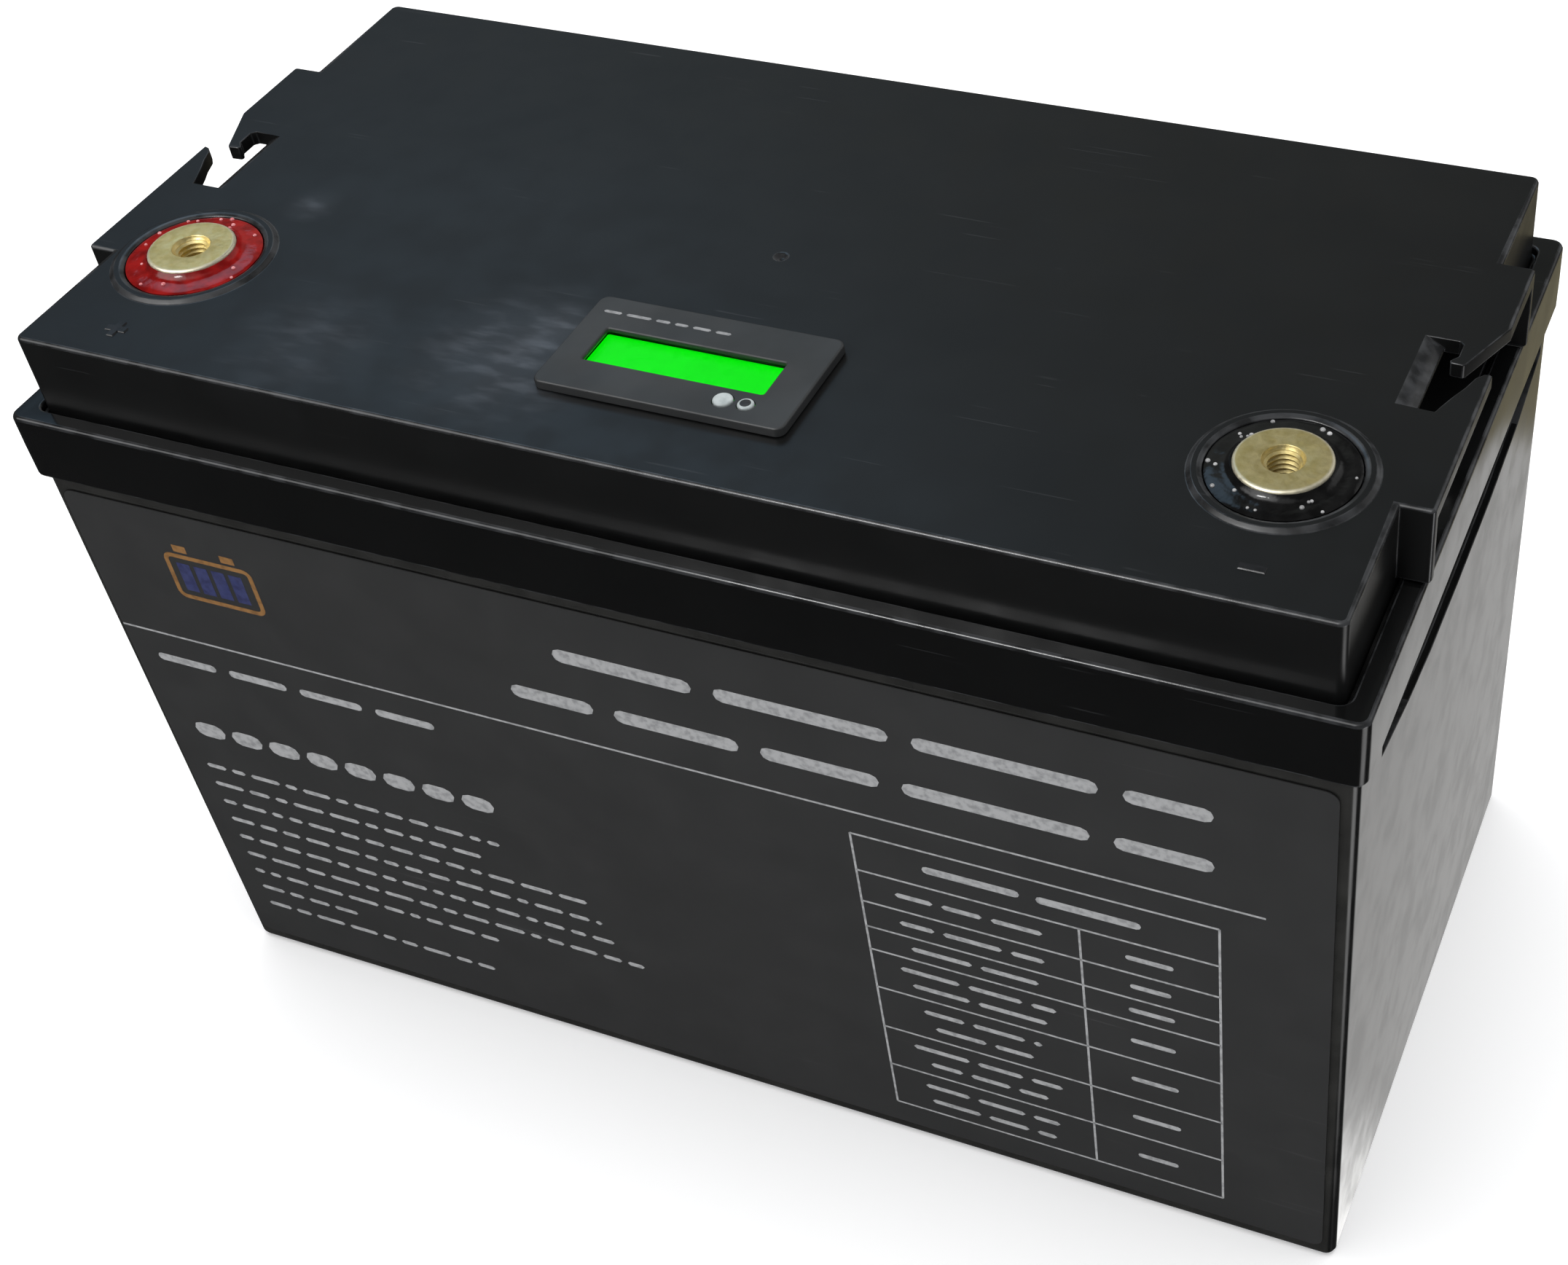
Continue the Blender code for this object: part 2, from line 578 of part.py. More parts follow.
def make_lug(name, centre, low, hole, radius, direction, barrel_above):
    """Ring lug: a flat eye with a tongue that ends in a round barrel, along direction in plan."""
    thickness, barrel_radius = 1.5 * MM, 4.6 * MM
    reach = radius + 5.0 * MM
    eye = turned(name, [(radius, low), (radius, low + thickness)], "tinned_copper", centre, 24)
    along, across = Vector(direction), Vector((-direction[1], direction[0]))
    half = 4.5 * MM
    corners = []
    for forward, sideways in ((0, -half), (reach, -half), (reach, half), (0, half)):
        corners.append(Vector(centre) + along * forward + across * sideways)
    tongue = [[(c.x, c.y, z) for c in corners] for z in (low + 0.1 * MM, low + thickness - 0.1 * MM)]
    join(eye, skin("tongue", tongue, "tinned_copper"))
    start, end = Vector(centre) + along * (reach - 1.0 * MM), Vector(centre) + along * (reach + 12.0 * MM)
    middle = low + barrel_radius if barrel_above else low + thickness - barrel_radius
    route = [(start.x, start.y, middle), (end.x, end.y, middle)]
    join(eye, tube("barrel", route, barrel_radius, "tinned_copper", 12, 1))
    cut(eye, turned("hole_tool", [(hole, low - MM), (hole, low + thickness + MM)], "tinned_copper", centre, 24))
    return (end.x, end.y, middle)


# Display


def make_display_housing():
    """Bezel plate with a sleeve below it, open at its lower end, and a land round the window and keys."""
    edge = 0.5 * MM
    centre = (DISPLAY_X, DISPLAY_Y)
    inner_x, inner_y = SLEEVE_HALF_X - SLEEVE_WALL, SLEEVE_HALF_Y - SLEEVE_WALL
    levels = [
        (inner_x, inner_y, 0.8 * MM, BEZEL_TOP - BEZEL_LAND),
        (inner_x, inner_y, 0.8 * MM, SLEEVE_BOTTOM),
        (SLEEVE_HALF_X, SLEEVE_HALF_Y, 1.2 * MM, SLEEVE_BOTTOM),
        (SLEEVE_HALF_X, SLEEVE_HALF_Y, 1.2 * MM, BEZEL_BOTTOM),
        (BEZEL_HALF_X, BEZEL_HALF_Y, BEZEL_CORNER, BEZEL_BOTTOM),
        (BEZEL_HALF_X, BEZEL_HALF_Y, BEZEL_CORNER, BEZEL_TOP - edge),
        (BEZEL_HALF_X - 0.3 * edge, BEZEL_HALF_Y - 0.3 * edge, BEZEL_CORNER, BEZEL_TOP - 0.3 * edge),
        (BEZEL_HALF_X - edge, BEZEL_HALF_Y - edge, BEZEL_CORNER, BEZEL_TOP),
    ]
    housing = storeys("display_housing", levels, "bezel_plastic", centre)
    lip = 0.3 * MM
    window = [
        (WINDOW_HALF_X, WINDOW_HALF_Y, 0.6 * MM, BEZEL_TOP - BEZEL_LAND - MM),
        (WINDOW_HALF_X, WINDOW_HALF_Y, 0.6 * MM, BEZEL_TOP - lip),
        (WINDOW_HALF_X + 2 * lip, WINDOW_HALF_Y + 2 * lip, 0.9 * MM, BEZEL_TOP + lip),
    ]
    cut(housing, storeys("window_tool", window, "bezel_plastic", (WINDOW_X, WINDOW_Y), 2))
    for key_x, radius in ((MODE_KEY_X, MODE_KEY_RADIUS), (SET_KEY_X, SET_KEY_RADIUS)):
        hole = radius + KEY_PLAY
        depths = [(hole, BEZEL_TOP - BEZEL_LAND - MM), (hole, BEZEL_TOP + MM)]
        cut(housing, turned("key_hole_tool", depths, "bezel_plastic", (key_x, KEY_Y), 24))


def window_block(name, high, thickness, material_name, margin=GLASS_MARGIN):
    low = (WINDOW_X - WINDOW_HALF_X - margin, WINDOW_Y - WINDOW_HALF_Y - margin, high - thickness)
    top = (WINDOW_X + WINDOW_HALF_X + margin, WINDOW_Y + WINDOW_HALF_Y + margin, high)
    return block(name, low, top, material_name, 0.1 * MM, 0.5 * MM)


def make_display_stack():
    lens_top = BEZEL_TOP - BEZEL_LAND - GAP
    lcd_top = lens_top - LENS_THICKNESS - GAP
    window_block("display_lens", lens_top, LENS_THICKNESS, "clear_plastic")
    window_block("lcd_panel", lcd_top, 1.6 * MM, "lcd_green")
    window_block("display_backlight", lcd_top - 1.6 * MM - GAP, 2.0 * MM, "light_guide")
    half_x, half_y = SLEEVE_HALF_X - SLEEVE_WALL - 0.5 * MM, SLEEVE_HALF_Y - SLEEVE_WALL - 0.5 * MM
    low = (DISPLAY_X - half_x, DISPLAY_Y - half_y, BOARD_TOP - 1.6 * MM)
    high = (DISPLAY_X + half_x, DISPLAY_Y + half_y, BOARD_TOP)
    block("display_board", low, high, "circuit_board", 0.1 * MM, 0.5 * MM)
    connector_high = BOARD_TOP - 1.6 * MM - GAP
    low = (-18.0 * MM, -50.0 * MM, connector_high - 6.0 * MM)
    block("display_connector", low, (-8.0 * MM, -44.5 * MM, connector_high), "white_plastic", 0.3 * MM, 0.5 * MM)


def make_key(name, key_x, radius, ring):
    """Push key: a cap through the bezel, a flange that keeps it in, and a stem down to its switch."""
    centre = (key_x, KEY_Y)
    top = BEZEL_TOP + KEY_STAND
    flange_high = BEZEL_TOP - BEZEL_LAND - GAP
    stem_bottom = BOARD_TOP + GAP + 4.0 * MM + KEY_TRAVEL + GAP
    profile = [
        (1.0 * MM, stem_bottom),
        (1.0 * MM, flange_high - 0.8 * MM),
        (radius + KEY_FLANGE, flange_high - 0.8 * MM),
        (radius + KEY_FLANGE, flange_high),
        (radius, flange_high),
        (radius, top - 0.3 * MM),
        (radius - 0.3 * MM, top),
    ]
    if ring:
        profile += [(0.55 * radius, top), (0.45 * radius, top - 0.35 * MM)]
    # The profile is written about the key's own axis and top, where its object's origin goes.
    local = [(r, z - top) for r, z in profile]
    key = turned(name, local, "key_plastic", (0.0, 0.0), 24)
    key.location = (*centre, top)
    switch = [
        (2.0 * MM, BOARD_TOP + GAP),
        (2.0 * MM, BOARD_TOP + GAP + 3.2 * MM),
        (1.1 * MM, BOARD_TOP + GAP + 3.2 * MM),
        (1.1 * MM, BOARD_TOP + GAP + 4.0 * MM),
    ]
    turned(name.replace("_key", "_switch"), switch, "rubber", centre, 16)


# Cell pack


def make_cells():
    half_t, half_w = CELL_THICKNESS / 2, CELL_WIDTH / 2
    low, high = (-half_t, -half_w, CELL_BOTTOM), (half_t, half_w, CELL_TOP)
    first = block("cell_1", low, high, "cell_film", 0.8 * MM, 3.0 * MM)
    for y in (-STUD_Y, STUD_Y):
        stud = [
            (8.0 * MM, CELL_TOP - MM),
            (8.0 * MM, PAD_TOP),
            (STUD_RADIUS, PAD_TOP),
            (STUD_RADIUS, STUD_TOP - 0.6 * MM),
            (STUD_RADIUS - 0.6 * MM, STUD_TOP),
        ]
        join(first, turned("stud", stud, "cell_film", (0.0, y), 12))
    left = -CELL_PITCH * (CELL_COUNT - 1) / 2
    first.location.x = left
    for number in range(1, CELL_COUNT):
        copy_of(first, f"cell_{number + 1}", (CELL_PITCH * number, 0, 0))
    sheet_half = SPACER_THICKNESS / 2
    for number in range(1, CELL_COUNT):
        x = left + CELL_PITCH * (number - 0.5)
        low = (x - sheet_half, -half_w + MM, CELL_BOTTOM + MM)
        high = (x + sheet_half, half_w - MM, CELL_TOP - MM)
        block(f"cell_spacer_{number}", low, high, "epoxy_sheet", 0.1 * MM, 0.2 * MM, 1)


def make_pack_frame():
    """Compression parts and padding round the cells."""
    half_w = CELL_WIDTH / 2
    stack_x = CELL_PITCH * (CELL_COUNT - 1) / 2 + CELL_THICKNESS / 2
    plate_in, plate_out = stack_x + GAP, stack_x + GAP + END_PLATE
    strap_in_x, strap_in_y = plate_out + GAP, half_w + GAP
    strap_out_x, strap_out_y = strap_in_x + STRAP_THICKNESS, strap_in_y + STRAP_THICKNESS
    for name, side in (("left", -1), ("right", 1)):
        xs = sorted((side * plate_in, side * plate_out))
        low, high = (xs[0], -half_w, CELL_BOTTOM), (xs[1], half_w, CELL_TOP)
        block(f"end_plate_{name}", low, high, "aluminium", 0.3 * MM, 0.5 * MM)
        foam_x = sorted((side * (strap_out_x + GAP), side * 157.4 * MM))
        low = (foam_x[0], -74.0 * MM, FLOOR + GAP)
        high = (foam_x[1], 74.0 * MM, CELL_TOP - 8.0 * MM)
        block(f"foam_block_{name}", low, high, "foam", 1.0 * MM, 3.0 * MM)
    for name, z in (("lower", 32.0 * MM), ("upper", 92.0 * MM)):
        levels = [
            (strap_in_x, strap_in_y, 0.6 * MM, z),
            (strap_out_x, strap_out_y, 1.2 * MM, z),
            (strap_out_x, strap_out_y, 1.2 * MM, z + STRAP_WIDTH),
            (strap_in_x, strap_in_y, 0.6 * MM, z + STRAP_WIDTH),
        ]
        storeys(f"pack_strap_{name}", levels, "steel", steps=3, cyclic=True)
    low, high = (-stack_x, -77.0 * MM, FLOOR + GAP), (stack_x, 77.0 * MM, FLOOR + GAP + BASE_PAD)
    block("base_pad", low, high, "foam", 0.4 * MM, 3.0 * MM)
    shelf_low = (-103.0 * MM, -73.0 * MM, BOARD_SHELF)
    block("pack_cover_board", shelf_low, (103.0 * MM, 73.0 * MM, BOARD_SHELF + 1.6 * MM), "epoxy_sheet")


def make_busbar(number, x_from, x_to, y):
    """Flat link with a raised bend in its middle, between two studs."""
    low = PAD_TOP + GAP
    high = low + BUSBAR_THICKNESS
    overhang, rise, half = 9.0 * MM, 4.0 * MM, 6.0 * MM
    middle = (x_from + x_to) / 2
    top_line = [
        (x_from - overhang, high),
        (middle - half - rise, high),
        (middle - half, high + rise),
        (middle + half, high + rise),
        (middle + half + rise, high),
        (x_to + overhang, high),
    ]
    profile = top_line + [(x, z - BUSBAR_THICKNESS) for x, z in reversed(top_line)]
    width = BUSBAR_HALF_WIDTH
    ends = [[(x, y + offset, z) for x, z in profile] for offset in (-width, width)]
    bar = skin(f"busbar_{number}", ends, "tinned_copper")
    for x in (x_from, x_to):
        hole = [(STUD_RADIUS + 0.4 * MM, low - MM), (STUD_RADIUS + 0.4 * MM, high + MM)]
        cut(bar, turned("bar_hole_tool", hole, "tinned_copper", (x, y), 16))


def make_series_links():
    """Three busbars, the eight stud nuts, and the lugs at the pack's two open ends, whose places it returns."""
    left = -CELL_PITCH * (CELL_COUNT - 1) / 2
    cells = [left + CELL_PITCH * number for number in range(CELL_COUNT)]
    for number, y in enumerate((STUD_Y, -STUD_Y, STUD_Y)):
        make_busbar(number + 1, cells[number], cells[number + 1], y)
    nut_low = PAD_TOP + BUSBAR_THICKNESS + 2 * GAP
    for number, x in enumerate(cells):
        for place, y in (("front", -STUD_Y), ("back", STUD_Y)):
            name = f"stud_nut_{place}_{number + 1}"
            nut(name, (x, y), nut_low, nut_low + 5.0 * MM, 10.0 * MM, STUD_RADIUS + GAP)
    low = PAD_TOP + GAP
    ends = {}
    ends["positive"] = make_lug("pack_lug_positive", (cells[0], -STUD_Y), low, 3.4 * MM, 9.0 * MM, (-1, 0), True)
    ends["negative"] = make_lug("pack_lug_negative", (cells[-1], -STUD_Y), low, 3.4 * MM, 9.0 * MM, (1, 0), True)
    return ends


# Battery management and leads


def make_management(pack_ends, terminal_ends):
    """Battery management board with its heat sink on the pack's cover board, and every lead."""
    board_low = BOARD_SHELF + 1.6 * MM + GAP
    board_high = board_low + 1.6 * MM
    half_x, low_y, high_y = 55.0 * MM, -22.0 * MM, 42.0 * MM
    block("bms_board", (-half_x, low_y, board_low), (half_x, high_y, board_high), "circuit_board", 0.2 * MM)
    sink_low, inset = board_high + GAP, 7.0 * MM
    low = (-half_x + inset, low_y + inset, sink_low)
    high = (half_x - inset, high_y - inset, sink_low + 10.0 * MM)
    sink = block("bms_heat_sink", low, high, "aluminium", 0.3 * MM, 0.5 * MM)
    channels, half_channel = 6, 2.2 * MM
    pitch = (high[1] - low[1]) / (channels + 1)
    for number in range(1, channels + 1):
        y = low[1] + pitch * number
        tool_low = (low[0] - MM, y - half_channel, sink_low + 3.0 * MM)
        tool_high = (high[0] + MM, y + half_channel, high[2] + MM)
        cut(sink, block("channel_tool", tool_low, tool_high, "aluminium", 0.1 * MM, 0.2 * MM, 1))
    pad_x = half_x - 5.0 * MM
    make_power_cables(pack_ends, terminal_ends, pad_x, board_high + GAP)
    make_signal_leads(pad_x, board_high + GAP)


def make_power_cables(pack_ends, terminal_ends, pad_x, pad_z):
    clear = 1.0 * MM
    x, y, z = pack_ends["positive"]
    post_x, post_y, post_z = terminal_ends["positive"]
    route = [
        (x - clear, y, z),
        (x - 12.0 * MM, y + 1.0 * MM, z + 2.0 * MM),
        (-140.0 * MM, -34.0 * MM, 148.0 * MM),
        (-144.0 * MM, -6.0 * MM, 168.0 * MM),
        (post_x, post_y + 16.0 * MM, 192.0 * MM),
        (post_x, post_y + 8.0 * MM, post_z),
        (post_x, post_y + clear, post_z),
    ]
    tube("positive_cable", route, LEAD_RADIUS, "cable_red")
    x, y, z = pack_ends["negative"]
    thin = 3.2 * MM
    route = [
        (x + clear, y, z),
        (x + 10.0 * MM, y + 1.0 * MM, z + 3.0 * MM),
        (126.0 * MM, -34.0 * MM, 148.0 * MM),
        (112.0 * MM, -16.0 * MM, 158.0 * MM),
        (84.0 * MM, -10.0 * MM, pad_z + thin + 4.0 * MM),
        (pad_x + 10.0 * MM, -10.0 * MM, pad_z + thin),
        (pad_x, -10.0 * MM, pad_z + thin),
    ]
    tube("pack_negative_cable", route, thin, "cable_black")
    post_x, post_y, post_z = terminal_ends["negative"]
    route = [
        (pad_x, 26.0 * MM, pad_z + LEAD_RADIUS),
        (pad_x + 10.0 * MM, 26.0 * MM, pad_z + LEAD_RADIUS),
        (88.0 * MM, 26.0 * MM, 154.0 * MM),
        (124.0 * MM, 22.0 * MM, 172.0 * MM),
        (post_x, post_y + 18.0 * MM, 190.0 * MM),
        (post_x, post_y + 8.0 * MM, post_z),
        (post_x, post_y + clear, post_z),
    ]
    tube("output_negative_cable", route, LEAD_RADIUS, "cable_black")


def make_signal_leads(pad_x, pad_z):
    """Sense harness to the first busbar, display lead, and the temperature bead on the second cell."""
    radius = 1.4 * MM
    route = [
        (-pad_x, 30.0 * MM, pad_z + radius),
        (-72.0 * MM, 38.0 * MM, pad_z + radius + 1.0 * MM),
        (-86.0 * MM, 60.0 * MM, pad_z + radius + 1.0 * MM),
        (-84.0 * MM, 75.5 * MM, pad_z + radius),
        (-80.0 * MM, 77.9 * MM, 139.0 * MM),
        (-66.0 * MM, 75.0 * MM, 132.0 * MM),
        (-CELL_PITCH, STUD_Y + BUSBAR_HALF_WIDTH + 2.0 * MM, 131.0 * MM),
    ]
    tube("sense_harness", route, radius, "cable_white", 6)
    radius = 1.2 * MM
    route = [
        (-13.0 * MM, -47.2 * MM, 196.2 * MM),
        (-13.0 * MM, -44.0 * MM, 188.0 * MM),
        (-30.0 * MM, -38.0 * MM, 170.0 * MM),
        (-62.0 * MM, -14.0 * MM, 154.0 * MM),
        (-66.0 * MM, 2.0 * MM, pad_z + radius + 1.0 * MM),
        (-pad_x, 6.0 * MM, pad_z + radius),
    ]
    tube("display_lead", route, radius, "cable_white", 6)
    probe = [(2.0 * MM, CELL_TOP + GAP), (3.0 * MM, CELL_TOP + 1.3 * MM), (1.6 * MM, CELL_TOP + 4.0 * MM)]
    turned("temperature_probe", probe, "rubber", (-CELL_PITCH / 2, 0.0), 12)


def main():
    clear_scene()
    make_container()
    make_lid()
    make_lid_seal()
    make_front_label()
    terminal_ends = {
        "positive": make_terminal(POSITIVE_X, "positive"),
        "negative": make_terminal(NEGATIVE_X, "negative"),
    }
    make_display_housing()
    make_display_stack()
    make_key("mode_key", MODE_KEY_X, MODE_KEY_RADIUS, False)
    make_key("set_key", SET_KEY_X, SET_KEY_RADIUS, True)
    make_cells()
    make_pack_frame()
    pack_ends = make_series_links()
    make_management(pack_ends, terminal_ends)


main()
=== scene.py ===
"""Looks of the deep cycle battery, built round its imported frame.

Lengths are in metres, and MM turns millimetres into metres. The origin is at the middle of the
base: +X points to the negative terminal's end, -Y to the labelled front and +Z up.
"""

import math
import random

import bmesh
import bpy
from mathutils import Matrix, Vector, noise


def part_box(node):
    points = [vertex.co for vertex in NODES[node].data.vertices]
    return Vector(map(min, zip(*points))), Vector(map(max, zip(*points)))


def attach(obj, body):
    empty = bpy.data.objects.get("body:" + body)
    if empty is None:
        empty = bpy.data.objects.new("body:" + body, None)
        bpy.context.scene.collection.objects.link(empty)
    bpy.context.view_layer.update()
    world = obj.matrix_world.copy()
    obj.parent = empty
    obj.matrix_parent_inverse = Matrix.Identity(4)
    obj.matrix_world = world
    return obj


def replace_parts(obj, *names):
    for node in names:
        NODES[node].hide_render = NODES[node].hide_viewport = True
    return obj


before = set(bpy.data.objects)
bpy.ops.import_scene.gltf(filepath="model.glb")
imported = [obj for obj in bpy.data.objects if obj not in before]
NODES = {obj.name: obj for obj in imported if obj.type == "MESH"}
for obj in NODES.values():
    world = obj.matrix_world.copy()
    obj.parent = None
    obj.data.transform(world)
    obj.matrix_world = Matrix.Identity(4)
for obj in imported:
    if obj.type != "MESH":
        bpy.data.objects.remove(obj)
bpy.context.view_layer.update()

MM = 0.001
rng = random.Random(12)


# Places read from the frame, and three that its boxes don't give

# The lid's highest points are the raised rims round its terminals.
RIM_HEIGHT = 0.9 * MM
LID_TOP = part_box("lid")[1].z - RIM_HEIGHT
COLLAR_BOTTOM = 175.2 * MM
MARK_X, MARK_Y = 136.5 * MM, -70.2 * MM
BEZEL_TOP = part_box("display_housing")[1].z
label_low, label_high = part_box("front_label")


def middle_of(node):
    low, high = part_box(node)
    return (low + high) / 2


def label_face(z):
    """y of the label's front face at height z: the face leans out towards its top."""
    points = [v.co for v in NODES["front_label"].data.vertices]
    foot = min(p.y for p in points if p.z < label_low.z + 0.1 * MM)
    head = min(p.y for p in points if p.z > label_high.z - 0.1 * MM)
    return foot + (head - foot) * (z - label_low.z) / (label_high.z - label_low.z)


# Wiring of nodes


class Wiring:
    """Short calls for adding nodes to one node tree."""

    def __init__(self, tree):
        self.tree = tree

    def node(self, kind, inputs, output=0, **settings):
        """Output of a new node. Inputs are numbers, colours, vectors or other nodes' outputs."""
        made = self.tree.nodes.new("ShaderNode" + kind)
        for key, value in settings.items():
            setattr(made, key, value)
        for key, value in inputs.items():
            if isinstance(value, bpy.types.NodeSocket):
                self.tree.links.new(value, made.inputs[key])
            else:
                made.inputs[key].default_value = value
        return made.outputs[output]

    def spread(self, value, low, high, start=0.0, end=1.0):
        """value eased from low...high to start...end."""
        span = {"Value": value, "From Min": low, "From Max": high, "To Min": start, "To Max": end}
        return self.node("MapRange", span, interpolation_type="SMOOTHSTEP")

    def blend(self, share, first, second):
        """Colour between first, where share is 0, and second, where it is 1."""
        return self.node("Mix", {0: share, 6: rgba(first), 7: rgba(second)}, 2, data_type="RGBA")

    def maths(self, operation, first, second=0.0):
        return self.node("Math", {0: first, 1: second}, operation=operation)


def rgba(colour):
    return colour if isinstance(colour, bpy.types.NodeSocket) else (*colour, 1.0)


class Finish(Wiring):
    """One procedural material. Its patterns lie in the row frame, in metres."""

    def __init__(self, name, metallic=0.0, constants=None):
        self.material = bpy.data.materials.new(name)
        self.material.use_nodes = True
        super().__init__(self.material.node_tree)
        self.shader = self.tree.nodes["Principled BSDF"]
        self.shader.inputs["Metallic"].default_value = metallic
        for socket, value in (constants or {}).items():
            self.shader.inputs[socket].default_value = value
        self.place = self.node("TexCoord", {}, "Object")
        self.bumps = None

    def noise(self, scale, detail=3.0, place=None):
        return self.node("TexNoise", {"Vector": place or self.place, "Scale": scale, "Detail": detail})

    def stretched(self, stretch, turn=(0.0, 0.0, 0.0)):
        """The place, squeezed along each axis, so that a noise becomes streaks."""
        return self.node("Mapping", {"Vector": self.place, "Rotation": turn, "Scale": stretch})

    def spot(self, centre, radius):
        """1 at the centre of a round patch, easing to 0 at its radius."""
        away = self.node("VectorMath", {0: self.place, 1: centre}, "Value", operation="DISTANCE")
        return self.spread(away, radius, 0.0)

    def streaks(self, turn, length=9.0, thickness=1100.0, amount=0.7):
        """Fine scratches that lie in plan at this turn: 1 on a scratch and 0 between."""
        along = self.stretched((length, thickness, thickness), (0.0, 0.0, turn))
        return self.spread(self.noise(1.0, 1.0, along), amount, amount + 0.06)

    def relief(self, height, depth, strength=1.0):
        """Adds a bump of this depth in metres to those before it."""
        inputs = {"Height": height, "Distance": depth, "Strength": strength}
        if self.bumps:
            inputs["Normal"] = self.bumps
        self.bumps = self.node("Bump", inputs)

    def done(self, colour, roughness, socket="Base Color"):
        self.tree.links.new(colour, self.shader.inputs[socket])
        self.tree.links.new(roughness, self.shader.inputs["Roughness"])
        if self.bumps:
            self.tree.links.new(self.bumps, self.shader.inputs["Normal"])
        return self.material


# Materials of the outside


def moulded_abs(name, rough, tone, waves, smudges_and_sheen=(), painted_light_strip=None):
    """Black ABS: satin moulding grain, fine scratches, rubbed edges and handling smudges.
    The rubbed edges carry a painted highlight, and the smudges a painted pale bluish sheen.

    tone scales the plastic's own colour, and waves is the depth of its slight sinks. The strip argument
    is (z, y): the wall below that height and in front of that y is painted lighter, as painted
    reflected light where the collar shades the wall.
    """
    made = Finish(name)
    dark, light = [tone * c for c in (0.0045, 0.0047, 0.0048)], [tone * c for c in (0.0085, 0.0088, 0.0088)]
    colour = made.blend(made.noise(38.0, 4.0), dark, light)
    roughness = made.spread(made.noise(90.0, 5.0), 0.3, 0.7, rough - 0.04, rough + 0.05)
    scratches = made.maths("MAXIMUM", made.streaks(0.45, 16.0), made.streaks(-0.9, 22.0, 1500.0, 0.71))
    patchy = made.maths("MULTIPLY", scratches, made.spread(made.noise(60.0, 2.0), 0.52, 0.66, 0.0, 0.25))
    colour = made.blend(patchy, colour, (0.05, 0.052, 0.055))
    # Each smudge is real grime, painted pale bluish as a painted sheen.
    for centre, radius, strength in smudges_and_sheen:
        drawn = made.noise(1.0, 7.0, made.stretched((90.0, 260.0, 90.0), (0.0, 0.0, -0.6)))
        smudge_sheen = made.spread(drawn, 0.42, 0.75, 0.3 * strength, strength)
        smudge_sheen = made.maths("MULTIPLY", made.spot(centre, radius), smudge_sheen)
        colour = made.blend(smudge_sheen, colour, (0.16, 0.18, 0.21))
    # Painted reflected light: the wall strip under the collar is painted lighter where the collar shades it.
    if painted_light_strip:
        split = made.node("SeparateXYZ", {0: made.place}, "Z").node.outputs
        top, wall = painted_light_strip
        below = made.spread(split["Z"], top + 0.1 * MM, top - 0.1 * MM)
        film = made.maths("MULTIPLY", below, made.spread(split["Y"], wall + 0.4 * MM, wall))
        film = made.maths("MULTIPLY", film, made.spread(made.noise(90.0, 4.0), 0.3, 0.7, 0.55, 0.9))
        colour = made.blend(film, colour, (0.033, 0.033, 0.031))
    # Rounded edges and slanting faces: real rubbed wear, made smoother and painted lighter as a painted
    # highlight.
    wear_and_highlight_mask = made.node("VertexColor", {}, "Color", layer_name="wear_and_highlight")
    rubbed_and_highlit = made.maths("MULTIPLY", wear_and_highlight_mask, made.spread(made.noise(150.0, 4.0), 0.38, 0.62, 0.15, 0.7))
    colour = made.blend(rubbed_and_highlit, colour, (0.05, 0.052, 0.055))
    roughness = made.maths("SUBTRACT", roughness, made.maths("MULTIPLY", wear_and_highlight_mask, 0.35 * rough))
    made.relief(made.noise(2600.0, 2.0), 0.08 * waves)
    made.relief(made.noise(22.0, 2.0), waves)
    return made.done(colour, roughness)


def label_film():
    """Satin printed film: mottled ink, slight waves where it is stuck down, and rub marks."""
    made = Finish("label_film")
    colour = made.blend(made.noise(30.0, 4.0), (0.0292, 0.0297, 0.03), (0.0357, 0.0362, 0.0366))
    rubs = made.streaks(0.0, 12.0, 1300.0, 0.7)
    rubs = made.maths("MULTIPLY", rubs, made.spread(made.noise(18.0, 2.0), 0.5, 0.65, 0.0, 0.35))
    colour = made.blend(rubs, colour, (0.09, 0.09, 0.092))
    roughness = made.spread(made.noise(70.0, 5.0), 0.3, 0.7, 0.42, 0.52)
    made.relief(made.noise(3200.0, 2.0), 0.003 * MM)
    made.relief(made.noise(14.0, 1.0), 0.12 * MM)
    return made.done(colour, roughness)


def ink(name, thin, thick):
    """Screen-printed ink, a little uneven and worn."""
    made = Finish(name)
    colour = made.blend(made.spread(made.noise(600.0, 5.0), 0.3, 0.6), thin, thick)
    roughness = made.spread(made.noise(200.0), 0.3, 0.7, 0.45, 0.6)
    made.relief(made.noise(2400.0, 2.0), 0.004 * MM)
    return made.done(colour, roughness)


